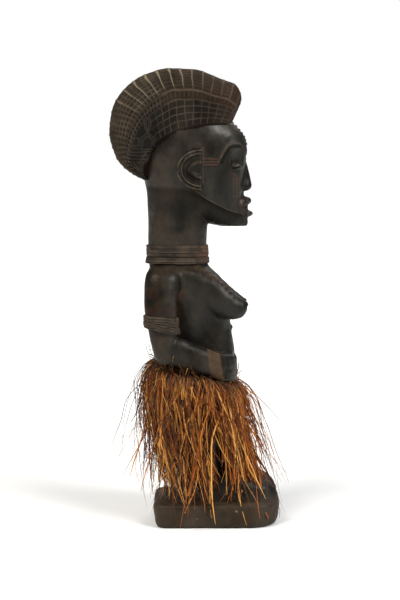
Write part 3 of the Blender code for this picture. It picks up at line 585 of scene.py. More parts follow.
def buildHead():
    surface = remeshed("carvedHead", headForms(), face["voxel"], 2)
    x, y, z = surface.points.T
    out, away = np.abs(x), np.sign(x)
    # under the jaw the wood is cut back, so that the side of the face ends in an edge
    _, jawHeight, crisp = rowsAt(face["jaw"], 0, y).T
    under, soft = jawHeight - z, 1 - crisp
    cutBack = smoothStep(under, -1.6 - 3 * soft, 3.4 + 5 * soft) * np.exp(-np.maximum(under, 0) / 26)
    cutBack *= smoothStep(out, 9, 20) * between(y, (-47, -38), (100, 112))
    ridge = bell(under + 1.6, 1.8) * smoothStep(out, 12, 22) * crisp
    surface.points[:, 0] -= away * (face["jawDepth"] * (0.35 + 0.65 * crisp) * cutBack - 0.2 * ridge)

    eyeY, eyeZ = face["eye"]
    seamY, seamLow, seamHigh = face["seam"]
    amount, grooves = np.zeros(len(x)), np.zeros(len(x))
    for side in (-1, 1):
        eyeX = side * (headSide(eyeY, eyeZ) + 0.5)
        slit = [(eyeX, eyeY + 3 + ahead, eyeZ - 3.4 + up) for ahead, up in face["slit"]]
        lid = [(eyeX, slitY, slitZ + 3.2) for _, slitY, slitZ in slit]
        amount += surface.line(slit, -1.8, 1.6) + surface.line(lid, 0.8, 1.8)
        # the line inside each brow, the eye slits and the lines under the temple bars are painted in shade as well
        # as cut
        brow = curveAt(face["brow"], np.linspace(0.05, 1, 24))
        inBrow = onHead([(browY - 2.6, browZ - 4.0) for browY, browZ in brow], side, 0.3)
        grooves = np.maximum.reduce([grooves, bell(surface.near(inBrow), 2.4), bell(surface.near(slit), 2.0)])
        for height in face["temple"]:
            below = onHead([(at, height - 2.0) for at in np.linspace(seamY, 0, 8)], side, 0.5)
            grooves = np.maximum(grooves, 0.5 * bell(surface.near(below), 1.1))
        seam = onHead([(seamY, height) for height in np.linspace(seamLow, seamHigh, 14)], side, 0.5)
        amount += surface.line(seam, 1.0, 2.0)
        for lift in (0, 5):
            arc = onHead([(at, 543 + lift - (at - 34) ** 2 / 60) for at in np.linspace(26, 44, 8)], side, 0.5)
            amount += surface.line(arc, 0.8, 1.1)
    mouth = [(at, -52 + at * at / 22, 453.2 + abs(at) * 0.05) for at in np.linspace(-15, 15, 16)]
    amount += surface.line(mouth, -2.4, 2.0)
    surface.push(amount - 1.1 * grooves)
    surface.soften(1, 0.4)
    surface.lumps((0.45, 22, 0), (0.22, 7, 5))
    # painted shade in these grooves and under the jaw, where the wood is cut back
    surface.paintWear(paintedShade=np.maximum(grooves, 0.9 * cutBack))

    points = surface.points
    x, y, z = points.T
    red, brown = np.zeros(len(x)), np.zeros(len(x))
    for side in (-1, 1):
        def mark(strength, line, width):
            return strength * bell(surface.near(onHead(line, side, 0.8)), width)
        for height in face["temple"]:
            red = np.maximum(red, mark(0.75, [(at, height) for at in np.linspace(seamY, 0, 8)], 1.0))
        for at, high in face["cheek"]:
            brown = np.maximum(brown, mark(0.6, [(at, height) for height in np.linspace(high, 469, 8)], 1.0))
        for strength, line, width in face["redRubbed"]:
            red = np.maximum(red, mark(strength, line, width))
        brow = [(browY + 0.9, browZ + 1.0) for browY, browZ in curveAt(face["brow"], np.linspace(0, 1, 20))]
        seam = [(seamY, height) for height in np.linspace(seamLow, seamHigh, 14)]
        brown = np.maximum.reduce([brown, mark(0.8, brow, 1.1), mark(0.5, seam, 1.8)])
    surface.paint("rust", red)
    surface.paint("earth", brown)
    # a painted highlight on the forehead, and painted highlights along the rims of the ears
    highlightY, highlightZ = face["polish"]
    fromPolish = np.hypot((y - highlightY + (z - highlightZ) * 0.6) / 26, (z - highlightZ) / 17)
    surface.paint("polish", bell(fromPolish, 1) * (0.8 + 0.5 * noiseAt(points, 14, 2)))
    earY, earZ = face["ear"]
    share = np.hypot((y - earY) / face["earDepth"], (z - earZ) / face["earHeight"])
    # painted highlights along the ear rims, put in as pale chalk marks
    rimHighlights = sum(bell(share - at, 0.012) for at in face["earRimHighlights"]) * (y > earY) * (np.abs(x) > 40)
    surface.paint("chalk", (0.55 + 0.4 * noiseAt(points, 12, 8)) * rimHighlights)
    woodPiece(surface, "carved_head")


buildHead()


body = {
    "voxel": 1.65, "navel": 266,
    # x and y of the inner row, from the neck forwards
    "chestDots": ((33, 27), (34, 20), (36, 13), (37, 6), (38, -1), (38, -8), (39, -15), (38, -22)),
    "dotRowGap": 5.5, "dotSize": 1.7,
    "wristBand": (-5, 13), "wristHeight": 224,
}


def chestDotsOn(surface):
    # two rows of raised dots down each side of the chest, each at the highest point near its place
    points, dots = surface.points, np.zeros(len(surface.points))
    for x, y in body["chestDots"]:
        for side in (-1, 1):
            for row in (0, body["dotRowGap"]):
                aside = np.linalg.norm(points[:, :2] - (side * (x + row), y - row * 0.5), axis=1)
                close = np.flatnonzero((aside < 2.2) & (points[:, 2] > 300))
                if len(close):
                    top = points[close[np.argmax(points[close, 2])]]
                    dots = np.maximum(dots, bell(np.linalg.norm(points - top, axis=1), body["dotSize"]))
    return dots


def buildBody():
    forms = Forms()
    forms.loft(trunkRings(126, 386))
    for side in (-1, 1):
        forms.loft(uprightRings(upperArmRows, side))
        forms.loft(forwardRings(forearmRows, side))
        forms.loft(forwardRings(breastRows, side, 2.1))
        forms.ball((side * 30, -42.5, 305), (4.5, 5.5, 4.5), 16, 12)
    navelFront = rowsAt(trunkRows, 0, body["navel"])[0][1]
    forms.ball((0, navelFront, body["navel"]), (4, 3.2, 4), 14, 10)
    surface = remeshed("carvedBody", forms, body["voxel"], 4)
    # the shoulders and the hands run into the trunk
    surface.soften(12, 0.5, between(surface.points[:, 2], (325, 350), (364, 372)))
    _, y, z = surface.points.T
    surface.soften(22, 0.5, (1 - smoothStep(y, -16, -4)) * between(z, (196, 212), (240, 262)))
    amount = np.zeros(len(y))
    for side in (-1, 1):
        for height in (197, 207, 217):
            fingers = [(side * x, y, height) for y, x in ((-17, 52), (-26, 42), (-35, 27), (-37, 16))]
            amount += surface.line(fingers, -1.2, 1.5)
    dots = chestDotsOn(surface)
    surface.push(amount + 1.1 * dots)
    surface.lumps((0.7, 26, 3), (0.3, 9, 9))
    surface.paintWear()

    points = surface.points
    out, y, z = np.abs(points[:, 0]), points[:, 1], points[:, 2]
    low, high = body["wristBand"]
    along = y + 2.0 * noiseAt(points, 9, 2) - 0.16 * (z - body["wristHeight"])
    wrist = between(along, (low - 1.5, low + 1.5), (high - 1.5, high + 1.5)) * (out > 46) * (z < 244)
    # painted highlight: the top of each breast is lighter
    breastTopHighlight = bell(out - 35, 10) * smoothStep(z, 322, 345) * (y < 34)
    worn = wrist * (0.8 + 0.3 * noiseAt(points, 5, 7))
    surface.paint("earth", np.maximum.reduce([worn, dots, 0.4 * breastTopHighlight]))
    armSeam = bell(y - 58, 7) * bell(z - 326, 14) * (out < 52)
    backOfArm = smoothStep(y, 70, 100) * smoothStep(z, 225, 240) * (noiseAt(points, 18, 5) > 0)
    aboveBand = between(z, (288, 292), (300, 308)) * (out > 50) * (0.5 + noiseAt(points, 8, 3))
    surface.paint("rust", np.maximum.reduce([0.8 * armSeam, 0.30 * aboveBand, 0.12 * wrist, 0.12 * backOfArm]))
    woodPiece(surface, "carved_body")


buildBody()


stand = {
    "voxel": 2.0, "length": 98, "width": 66, "frontCorner": 52, "backCorner": 20, "edge": 5, "taper": 3.5,
    "toeCut": ((-58, 36), (-70, 33), (-82, 27), (-91, 18), (-97, 6)),   # between the toes, as y and z
    "chips": (((-66, -29, -8), 4), ((-64, -74, -2), 3.5), ((-66, 30, -20), 2.5), ((-66, -50, -26), 2),
              ((40, 98, -12), 3)),
}


def baseOutline(inset, z, corners=14):
    length, width = stand["length"] - inset, stand["width"] - inset
    quarter = np.linspace(0, math.pi / 2, corners)
    points = []
    for sx, sy in ((1, 1), (-1, 1), (-1, -1), (1, -1)):
        radius = stand["backCorner" if sy > 0 else "frontCorner"] - inset
        for turn in quarter if sx * sy > 0 else quarter[::-1]:
            points.append((sx * (width - radius + radius * math.cos(turn)),
                           sy * (length - radius + radius * math.sin(turn)), z))
    return points


def buildStand():
    forms = Forms()
    edge, low = stand["edge"], -baseTop / part
    steps = [(edge, low), (1.5, low + 2), (0, low + 7)]
    steps += [(0, z) for z in np.linspace(low + 10, -7, 6)]
    steps += [(0, -edge), (1.5, -1.5), (edge, 0)]
    forms.loft([baseOutline(inset + stand["taper"] * (z / low) ** 1.5, z) for inset, z in steps])
    for side in (-1, 1):
        forms.loft(uprightRings(legRows, side))
        forms.loft(forwardRings([(y, -4, top, middle, half) for y, top, middle, half in footRows], side, 2.8))
    surface = remeshed("carvedStand", forms, stand["voxel"], 3)
    amount = np.zeros(len(surface.points))
    for side in (-1, 1):
        for toe in range(4):
            x = side * (35 + 25 * (-0.62 + 0.40 * toe))
            amount += surface.line([(x, y, z) for y, z in stand["toeCut"]], -3.0, 1.9)
    surface.push(amount)
    surface.lumps((1.0, 30, 3), (0.45, 9, 9), mask=smoothStep(surface.points[:, 2], low, low + 4))
    surface.points[:, 2] = np.maximum(surface.points[:, 2], low)
    surface.paintWear()
    points = surface.points
    onSlab = 1 - smoothStep(points[:, 2], 0, 14)
    surface.paint("earth", (0.42 + 0.2 * noiseAt(points, 16, 4)) * onSlab)
    chips = np.maximum.reduce([
        bell(np.linalg.norm(points - spot, axis=1), size) for spot, size in stand["chips"]])
    surface.paint("chalk", 0.9 * chips * (0.6 + noiseAt(points, 4, 2)))
    woodPiece(surface, "carved_stand")


buildStand()


crest = {
    "stations": (  # hairline, ridge and outer edge as (y, z), half widths at hairline and ridge
        ((-18, 577), (-26, 590), (-30, 597), 14, 16), ((-15, 577), (-29, 603), (-37, 618), 26, 34),
        ((-7, 577), (-21, 611), (-29, 637), 32, 45), ((12, 576), (4, 619), (-2, 648), 39, 51),
        ((34, 572), (34, 627), (36, 661), 43, 53), ((58, 566), (63, 628), (74, 663), 43, 53),
        ((77, 557), (86, 617), (110, 653), 42, 52), ((89, 549), (106, 602), (142, 630), 41, 51),
        ((99, 540), (122, 583), (160, 599), 40, 49), ((106, 528), (133, 558), (164, 566), 38, 46),
        ((110, 515), (138, 533), (155, 531), 35, 41), ((111, 504), (130, 512), (135, 507), 31, 34),
        ((108, 496), (114, 498), (114, 495), 24, 25),
    ),
    "heart": (50, 530), "cells": 22, "perCell": 14, "rimRows": 10, "perRimRow": 5,
    "innerRows": 4, "perInnerRow": 11, "bandSteps": 12, "hairSteps": 5,
    "ridgeAt": 1.0, "bandAt": 0.76, "hairAt": 0.07, "cellScale": 40,
    "rimWide": 60.0, "sideWide": 50.0,      # about how wide the rim and the side are, for the cuts' widths
    "clay": ((0, 0), (0.10, 0.15), (0.18, 0.4), (0.27, 0.55), (0.36, 0.8), (0.44, 1.1), (0.54, 1.1), (0.62, 0.75),
             (0.70, 0.4), (0.78, 0.1), (1, 0)),
    "backFrom": 10.5,                       # the cell from which the cells are cut smaller
    # lines cut into the side near the nape, as (y, z)
    "arches": (
        ((105.5, 594), (110.5, 580), (108.5, 571), (104.8, 563)),
        ((104, 594), (99, 580), (101, 571), (104.8, 563)),
        ((105.5, 587), (107.5, 578), (106, 571), (104.8, 566)),
        ((104, 587), (102.2, 578), (103.4, 571), (104.8, 566)),
        ((104.8, 565), (115, 556), (114.5, 543)), ((104.8, 565), (95, 556), (95, 543)),
        ((104.8, 560), (112, 553.5), (112, 545)), ((104.8, 560), (98, 553.5), (98, 545)),
        ((130, 542.5), (120, 540.5), (109, 539.5), (98, 540.5)),
        ((129, 556), (118, 556.5), (117.5, 545), (129, 545), (129, 556)),
        ((140, 536), (122, 535), (101, 537)), ((140, 531.5), (120, 530), (103, 531)),
        ((140, 526), (122, 525), (106, 525)), ((139, 521), (122, 520.5), (110, 519)),
        ((100, 537), (112, 517)), ((106, 537), (118, 519)), ((134, 515), (126, 519), (119, 511)),
        ((136, 508), (125, 513), (118, 507)),
    ),
}


def crestPoints(share, across):
    # points on the right-hand half of the crest; share runs from brow to nape, across from hairline to top
    flat = [(*low, *ridge, *edge, lowHalf, ridgeHalf)
            for low, ridge, edge, lowHalf, ridgeHalf in crest["stations"]]
    rows = curveAt(flat, share)
    low, ridge, edge = rows[:, 0:2], rows[:, 2:4], rows[:, 4:6]
    lowHalf, ridgeHalf = rows[:, 6], rows[:, 7]
    below = np.clip(across, 0, 1)[:, None]
    turn = np.clip(across - 1, 0, 1) * math.pi / 2
    inPlane = low + (ridge - low) * below
    inPlane = np.where((across > 1)[:, None], ridge + (edge - ridge) * (np.sin(turn) ** 0.9)[:, None], inPlane)
    x = np.where(across > 1, ridgeHalf * np.cos(turn) ** 0.8,
                 lowHalf + (ridgeHalf - lowHalf) * below[:, 0] ** 1.6)
    return np.column_stack([x, inPlane])


def fromWhole(value):
    return np.abs((value + 0.5) % 1 - 0.5)


def buildCrest():
    cells, perCell = crest["cells"], crest["perCell"]
    u = np.linspace(0, cells, cells * perCell + 1)
    rimStep = (2 - crest["ridgeAt"]) / crest["rimRows"]
    innerStep = (crest["bandAt"] - crest["hairAt"]) / crest["innerRows"]
    v = np.concatenate([
        np.linspace(0, crest["hairAt"], crest["hairSteps"], endpoint=False),
        np.linspace(crest["hairAt"], crest["bandAt"], crest["innerRows"] * crest["perInnerRow"], endpoint=False),
        np.linspace(crest["bandAt"], crest["ridgeAt"], crest["bandSteps"], endpoint=False),
        np.linspace(crest["ridgeAt"], 2, crest["rimRows"] * crest["perRimRow"] + 1),
    ])
    # cells of even width along the ridge
    fine = np.linspace(0, 1, 800)
    ridge = crestPoints(fine, np.full(800, 1.25))
    length = np.concatenate([[0], np.cumsum(np.linalg.norm(np.diff(ridge, axis=0), axis=1))])
    shareOfCell = np.interp(np.linspace(0, length[-1], len(u)), length, fine)
    halves = []
    shareGrid, vGrid = (grid.ravel() for grid in np.meshgrid(shareOfCell, v, indexing="ij"))
    ends = smoothStep(shareGrid, 0, 0.04) * (1 - smoothStep(shareGrid, 0.96, 1))
    fade = ends * smoothStep(vGrid, 0, 0.1) * (1 - smoothStep(vGrid, 1.8, 2))
    for side in (1, -1):
        # the hand-cut lines wander a little, so the grid that they follow does
        spots = np.column_stack([shareGrid * 40, vGrid * 6, np.full(len(vGrid), side * 7.0)])
        share = np.clip(shareGrid + 0.0045 * noiseAt(spots, 1.6, 1) * fade, 0, 1)
        across = np.clip(vGrid + 0.018 * noiseAt(spots, 1.8, 4) * fade, 0, 2)
        halves.append((crestPoints(share, across) * (side, 1, 1)).reshape(len(u), len(v), 3))
    # rings run from the heart line inside the head, up one side, over the top and down the other
    right, left = halves
    low = crestPoints(shareOfCell, np.zeros(len(u)))[:, 1:]
    heart = np.column_stack([np.zeros(len(u)), low + 0.25 * (np.array(crest["heart"]) - low)])
    rings = np.concatenate([heart[:, None], right, left[:, -2::-1]], axis=1)
    vRing = np.concatenate([[0], v, v[-2::-1]])
    # rounded ends
    capSteps = np.linspace(0.15, 1.45, 9)
    caps = []
    for end, sign in ((0, 1), (-1, -1)):
        ring, middle = rings[end], rings[end].mean(0)
        outward = unit((rings[end] - rings[end + sign * 6]).mean(0))
        caps.append([middle + (ring - middle) * math.cos(t) + outward * 7.0 * math.sin(t) for t in capSteps])
    rings = np.concatenate([caps[0][::-1], rings, caps[1]])
    uRing = np.concatenate([np.zeros(len(capSteps)), u, np.full(len(capSteps), float(cells))])
    forms = Forms()
    forms.loft(rings)
    surface = Surface(meshObject("crest", world(np.vstack(forms.points)), forms.faces))
    uFlat = np.append(np.repeat(uRing, len(vRing)), (0, cells))
    vFlat = np.append(np.tile(vRing, len(uRing)), (0, 0))
    # distances to the cut lines, in the tables' units
    cellWide = length[-1] / cells
    back = smoothStep(uFlat, crest["backFrom"] - 0.5, crest["backFrom"] + 0.5)
    inward = np.where(vFlat < 1, 0.62 + 0.38 * vFlat, 1.0)
    toColumn = fromWhole(uFlat) * cellWide * inward
    toHalf = fromWhole(uFlat * 2) * cellWide / 2 * inward
    toRimRow = fromWhole((vFlat - 1) / rimStep) * crest["rimWide"] * rimStep
    toInnerRow = fromWhole((vFlat - crest["hairAt"]) / innerStep) * crest["sideWide"] * innerStep
    ends = smoothStep(uFlat, 0.05, 0.3) * (1 - smoothStep(uFlat, cells - 0.3, cells - 0.05))
    rim = smoothStep(vFlat, 1.0, 1.04) * ends
    inner = ((vFlat > crest["hairAt"]) & (vFlat < crest["bandAt"])) * ends
    bandZone = ((vFlat > crest["bandAt"] + 0.02) & (vFlat < 0.98)) * ends
    points = surface.points
    nape = np.exp(-(((points[:, 1] - 112) / 24) ** 4 + ((points[:, 2] - 548) / 36) ** 4))
    nape *= vFlat < crest["bandAt"]
    column, half = rim * bell(toColumn, 1.3), rim * back * bell(toHalf, 1.1)
    rows = rim * bell(toRimRow, 0.9) * (0.65 + 0.35 * back)
    grid = inner * np.maximum(bell(toColumn, 0.62), bell(toInnerRow, 0.62)) * (1 - nape)
    bandCells = bandZone * back
    shortCut = bandZone * (1 - back) * bell(toHalf, 0.8) * smoothStep(vFlat, 0.80, 0.86)
    cellCut = bandCells * np.maximum(bell(toHalf, 1.2), bell((vFlat - 0.88) * crest["sideWide"], 1.1))
    ridgeLine = ends * (1 - 0.75 * back) * bell((vFlat - 1) * crest["sideWide"], 1.0)
    bandLine = ends * (1 - 0.5 * back) * bell((vFlat - crest["bandAt"]) * crest["sideWide"], 0.8)
    toCell = np.minimum(np.where(back > 0.5, toHalf, toColumn), toRimRow)
    pillow = (0.6 + 0.5 * back) * rim * smoothStep(toCell, 0, 2.4)
    pillow += 0.9 * bandCells * smoothStep(toHalf, 0.8, 3.0)
    toKnob = fromWhole(uFlat * 2.5) * cellWide / 2.5
    knobs = bell((vFlat - 0.025) * crest["sideWide"], 1.2) * (0.3 + 0.7 * bell(toKnob, 1.8))
    # the free lines are found from the side, so the points are flattened for it
    carved = np.zeros(len(points))
    kept = surface.points
    surface.points = kept * (0, 1, 1)
    for line in crest["arches"]:
        carved = np.maximum(carved, bell(surface.near([(0, *spot) for spot in line]), 0.9))
    surface.points = kept
    carved *= (vFlat < 0.97) * ends
    atEdge = 1 - 0.6 * smoothStep(vFlat, 1.8, 2.0)
    amount = ((-0.65 * column - 0.45 * half - 0.55 * rows) * atEdge - 0.6 * grid - 0.7 * cellCut + 0.7 * ridgeLine
              + 0.6 * bandLine - 0.5 * shortCut + pillow + 0.8 * knobs - 1.0 * carved)
    surface.push(amount * smoothStep(vFlat, 0, 0.01))
    surface.lumps((0.6, 24, 3), (0.3, 7, 9))
    surface.paintWear(2, 10)
    lump = noiseAt(surface.points, 15, 2) * 0.5 + 0.5
    # the lines over the top hold pale clay, widest at the outer edge
    share = uFlat / cells
    topLine = rim * bell(toColumn, 0.6 + 1.3 * smoothStep(vFlat, 1.1, 1.7))
    clayed = rowsAt(crest["clay"], 0, share)[:, 1]
    surface.paint("chalk", topLine * clayed * smoothStep(vFlat, 1.02, 1.12) * (0.6 + 0.6 * lump))
    pale = np.maximum.reduce([
        (0.7 - 0.15 * back) * bell(toColumn, 0.9) * rim, 0.45 * half, (0.30 + 0.35 * back) * rows, 0.60 * grid,
        0.5 * cellCut, 0.3 * carved, 0.7 * ridgeLine, 0.45 * bandLine, 0.28 * shortCut])
    surface.paint("pale", pale * (0.3 + 0.9 * lump))
    band = ((vFlat > crest["bandAt"]) & (vFlat < 1)) * ends
    surface.paint("earth", 0.5 * np.maximum(ridgeLine, bandLine) + 0.22 * band * (1 - back) + 0.22 * rim)
    brow = (1 - smoothStep(uFlat, 2, 8)) * (vFlat > 0.1)
    surface.paint("rust", 0.3 * ridgeLine + 0.05 * band + 0.35 * knobs + 0.10 * rim * lump + 0.22 * brow)
    surface.paint("cellU", uFlat / crest["cellScale"])
    _, y, z = surface.points.T
    # darker low on the back of the crest, near the nape
    surface.paint("soot", 0.85 * bell(y - 104, 34) * bell(z - 556, 32) * (vFlat < 0.98))
    surface.paint("hatch", inner * (1 - nape) * smoothStep(uFlat, 6, 9) * (1 - smoothStep(uFlat, 15, 17)))
    woodPiece(surface, "coiffure", carvedHair)


def cutLines(paint, colour, height, roughness, cloud):
    # dust in the crest's cut lines, and fine hatching between them
    cell = paint.attribute("cellU") * float(crest["cellScale"])
    fine = paint.maths("SINE", cell * (10 * math.pi) + cloud * 3).band(0.5, 1.0) * paint.attribute("hatch")
    # the whole crest a little darker, and darker still near the nape
    colour = paint.mix((paint.attribute("soot") + 0.25).clamped(), colour, wood["deep"])
    dusted = (paint.attribute("pale") * (0.6 + cloud * 0.6) + fine * 0.16).clamped()
    return paint.mix(dusted * 0.9, colour, wood["line"]), height - fine * 0.8, roughness + 0.28


carvedHair = woodMaterial("carvedHair", specular=0.10, wax=0.14, cutLines=cutLines)
buildCrest()


hide = {
    "dark": rgb(20, 16, 13), "body": rgb(54, 43, 34), "worn": rgb(92, 75, 59), "rust": rgb(104, 60, 40),
    "armTilt": -0.08, "flapTilt": -0.20,
}


def hideMaterial():
    made, paint, shader = newMaterial("hide", {"Specular IOR Level": 0.35, "Specular Tint": wood["sheen"]})
    edge, crease, rust = paint.attribute("edge"), paint.attribute("crease"), paint.attribute("rust")
    cloud, fine = paint.noise(60, 4, 0.6), paint.noise(420, 4, 0.65)
    colour = paint.mix(cloud.band(0.35, 0.7), hide["dark"], hide["body"])
    colour = paint.mix((rust * (cloud * 1.2 + fine * 0.4)).clamped() * 0.8, colour, hide["rust"])
    colour = paint.mix((edge * (0.2 + fine)).clamped() * 0.5, colour, hide["worn"])
    colour = paint.mix(cloud.band(0.55, 0.35) * 0.6, colour, hide["dark"])
    # painted shade in the creases under the folds and on the inside of the strip
    colour = paint.mix(crease * 0.85, colour, hide["dark"])
    finishMaterial(paint, shader, colour, (0.52 + fine * 0.3).clamped(), fine * 0.5 + cloud * 0.8, 0.0006, 0.7)
    return made


hideFinish = hideMaterial()


def stripPiece(name, node, rings, edge, crease, rust):
    # a wound strip as one closed tube, with values at each point for its finish
    rings = np.array(rings)
    count, sides = rings.shape[:2]
    faces = [(r * sides + i, r * sides + (i + 1) % sides, ((r + 1) % count) * sides + (i + 1) % sides,
              ((r + 1) % count) * sides + i) for r in range(count) for i in range(sides)]
    surface = Surface(meshObject(name, world(rings.reshape(-1, 3)), faces))
    for layer, values in (("edge", edge), ("crease", crease), ("rust", rust)):
        surface.paint(layer, np.ravel(values))
    obj = surface.obj
    obj.data.materials.append(hideFinish)
    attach(obj, "root")
    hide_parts(node)
    print(name, "faces", len(obj.data.polygons))


def neckPoint(angle, z, offset):
    _, front, back, half, squareness = rowsAt(trunkRows, 0, z)[0]
    x, y = roundedOutline(np.array([angle]), front - offset, back + offset, half + offset, squareness)[0]
    return x, y, z


def armPoint(side, tilt):
    def at(angle, z, offset):
        level = z
        for _ in range(4):
            _, front, back, middle, half = rowsAt(upperArmRows, 0, z)[0]
            centre, reach = (front + back) / 2, (back - front) / 2 + offset
            x = middle + (half + offset) * signedPower(math.sin(angle), 2 / 2.3)
            y = centre - reach * signedPower(math.cos(angle), 2 / 2.3)
            z = level - tilt * (y - centre)
        return side * x, y, z
    return at


def woundStrip(name, node, point, strip):
    # strip's section goes up its outside in folds, and back down its inside
    count, steps, width = strip["around"], strip["steps"], strip["width"]
    t = np.linspace(0, 1, steps)
    rings, edges, shadedCreases, rusts = [], [], [], []
    for angle in turns(count):
        ca, sa = math.cos(angle), math.sin(angle)
        sway = [noise.noise(Vector((ca * f, sa * f, strip["seed"] + f))) for f in (1.3, 3.1, 6.5)]
        rise = strip["sway"] * (sway[0] + 0.5 * sway[1])
        offset = np.zeros(steps)
        crease = np.zeros(steps)
        edge = np.zeros(steps)
        for k, (at, depth, wide) in enumerate(strip["folds"]):
            here = at + 1.5 / width * noise.noise(Vector((ca * 2.5, sa * 2.5, strip["seed"] + 3 * k + 1)))
            away = (t - here) * width
            # a fold is a step: the part above lies over the part below
            offset += depth * (smoothStep(away, -0.2, 1.0) * np.exp(-np.maximum(away, 0) / 3.5))
            # painted shade in the crease under each fold, which is also sunk
            crease = np.maximum(crease, bell(away + 0.2, wide * 0.7))
            edge = np.maximum(edge, bell(away - 1.3, 0.9))
        body = strip["thick"] * (1 - np.abs(2 * t - 1) ** 10)
        flare = strip["flare"] * (1 - t) ** 2 * (0.55 - 0.45 * ca * strip["flareBack"] + 0.3 * sway[1])
        ripple = np.array([noise.noise(Vector((ca * 5, sa * 5, strip["seed"] + h * width * 0.3))) for h in t])
        offset = 0.8 + body + offset - 0.6 * crease + np.maximum(flare, -0.4) + 0.6 * ripple
        heights = strip["middle"] + (t - 0.5) * width * (1 + 0.06 * sway[1]) + rise
        inside = np.linspace(0.5, -0.5, 5) * width * 0.94 + strip["middle"] + rise
        ring = [point(angle, h, o) for h, o in zip(heights, np.maximum(offset, 0.6))]
        ring += [point(angle, h, 0.35) for h in inside]
        rings.append(ring)
        rim = np.maximum(edge, bell((1 - np.abs(2 * t - 1)) * width, 1.2))
        edges.append(np.append(rim, np.zeros(5)))
        # the inside of the strip is painted in shade
        shadedCreases.append(np.append(crease, np.ones(5)))
        patch = strip["rust"] * smoothStep(sway[0] * 0.8 + strip["rustAt"] * ca, 0.1, 0.9)
        rusts.append(np.append(np.full(steps, patch), np.zeros(5)))
    stripPiece(name, node, rings, edges, shadedCreases, rusts)


woundStrip("neck_wrap", "neck_strip", neckPoint, {
    "middle": 385.6, "width": 18.2, "thick": 2.0, "sway": 0.5, "flare": 0.3, "flareBack": 0, "seed": 1.0,
    "folds": ((0.36, 0.7, 0.8), (0.74, 0.35, 0.6)), "rust": 0.7, "rustAt": 0.9, "around": 200, "steps": 36})
woundStrip("neck_wrap_low", "neck_lap", neckPoint, {
    "middle": 371.4, "width": 10.2, "thick": 2.3, "sway": 0.5, "flare": 3.0, "flareBack": 1, "seed": 6.0,
    "folds": ((0.30, 0.5, 0.7),), "rust": 0.3, "rustAt": 0.5, "around": 200, "steps": 26})
for side, arm in ((-1, "right"), (1, "left")):
    woundStrip(f"arm_wrap_{arm}", f"armband_{arm}", armPoint(side, hide["armTilt"]), {
        "middle": 281, "width": 18.5, "thick": 2.0, "sway": 0.8, "flare": 0.6, "flareBack": 0,
        "seed": 11.0 + side, "folds": ((0.22, 0.7, 0.7), (0.42, 0.8, 0.8), (0.60, 0.6, 0.7), (0.80, 0.6, 0.6)),
        "rust": 0.8, "rustAt": 0.3, "around": 130, "steps": 44})
    woundStrip(f"arm_wrap_{arm}_flap", f"armband_{arm}", armPoint(side, hide["flapTilt"]), {
        "middle": 272.5, "width": 10.5, "thick": 3.4, "sway": 0.9, "flare": 1.6, "flareBack": 0,
        "seed": 21.0 + side, "folds": ((0.35, 0.5, 0.6), (0.72, 0.5, 0.6)),
        "rust": 0.3, "rustAt": 0.2, "around": 130, "steps": 26})


raffia = {
    "shade": rgb(34, 16, 5), "brown": rgb(104, 50, 11), "body": rgb(194, 106, 28), "light": rgb(240, 178, 92),
    "grey": rgb(52, 43, 34),
    "cordLevel": 196, "cordTilt": 0.30, "cordY": 35, "cordOut": 3.9, "tufts": 58, "knots": 84, "knotSegments": 11,
    "middleY": 24,             # the upright line that the parting is measured round
    "legGap": (-1.22, 0.20),   # where the near leg shows between the fibres: turn round the hips, half width
    "lowest": -30, "sideReach": 94, "frontReach": -112, "backReach": 178,
    # each layer: fibres, points on each, how far out they get, degrees from straight down at the cord, length,
    # sideways spread, kinks, how much they close in on the legs, half width, thickness and tones. Grey heads reach
    # a fifth of the way down a whole fibre, and young is how much of a fibre's length a layer counts as.
    "curtain": {
        "pieces": 3, "count": 270, "segments": 15, "reach": (3, 24), "leave": (25, 95), "length": (75, 235),
        "spread": 0.15, "kink": 0.20, "hug": 0.08, "width": (0.7, 1.9), "flat": 0.26,
        "tones": (0.0, 0.42, 1.05), "shares": (0.46, 0.30, 0.24)},
    "layers": (
        {"name": "raffia_blades", "seed": 150, "count": 400, "segments": 15, "reach": (8, 28), "leave": (30, 90),
         "length": (90, 245), "spread": 0.16, "kink": 0.22, "hug": 0.05, "width": (1.2, 2.7), "flat": 0.26,
         "tones": (0.05, 0.4, 0.8, 1.2), "twist": 1.8},
        {"name": "raffia_tangled", "seed": 160, "count": 330, "segments": 18, "reach": (12, 52),
         "leave": (50, 125), "length": (90, 215), "spread": 0.30, "kink": 0.45, "hug": 0,
         "width": (0.4, 1.0), "flat": 0.24, "tones": (0, 1)},
        {"name": "raffia_top", "seed": 180, "count": 460, "segments": 12, "reach": (18, 52), "leave": (50, 150),
         "length": (25, 70), "spread": 0.55, "kink": 0.9, "hug": 0, "width": (0.3, 0.9), "flat": 0.24,
         "tones": (0.1, 0.9), "young": 0.22},
        {"name": "raffia_strays", "seed": 170, "count": 170, "segments": 20, "reach": (45, 105),
         "leave": (85, 140), "length": (110, 250), "spread": 0.24, "kink": 0.30, "hug": 0,
         "width": (0.35, 0.7), "flat": 0.5, "tones": (0, 0.45)},
    ),
}


def raffiaMaterial():
    made, paint, shader = newMaterial("raffia", {"Specular IOR Level": 0.3})
    tone, along = paint.attribute("tone"), paint.attribute("along")
    streak = paint.noise(420, 4, 0.6, stretch=(1, 1, 0.12))
    blotch = paint.noise(45, 3, 0.6)
    mixTone = (tone * 0.95 + streak * 0.35 + blotch * 0.25 - 0.27).clamped()
    stops = [(0.0, raffia["shade"]), (0.32, raffia["brown"]), (0.62, raffia["body"]), (1.0, raffia["light"])]
    colour = paint.node("ShaderNodeValToRGB", {"stops": stops}, {0: mixTone})
    colour = paint.mix((1 - along.band(0.03, 0.20)) * 0.9, colour, raffia["grey"])
    finishMaterial(paint, shader, colour, (0.36 + streak * 0.3).clamped(), streak, 0.0003, 0.6)
    return made


raffiaFinish = raffiaMaterial()
figureMesh = frame["nodes"]["figure"].data
woodTree = BVHTree.FromPolygons([v.co for v in figureMesh.vertices], [p.vertices[:] for p in figureMesh.polygons])


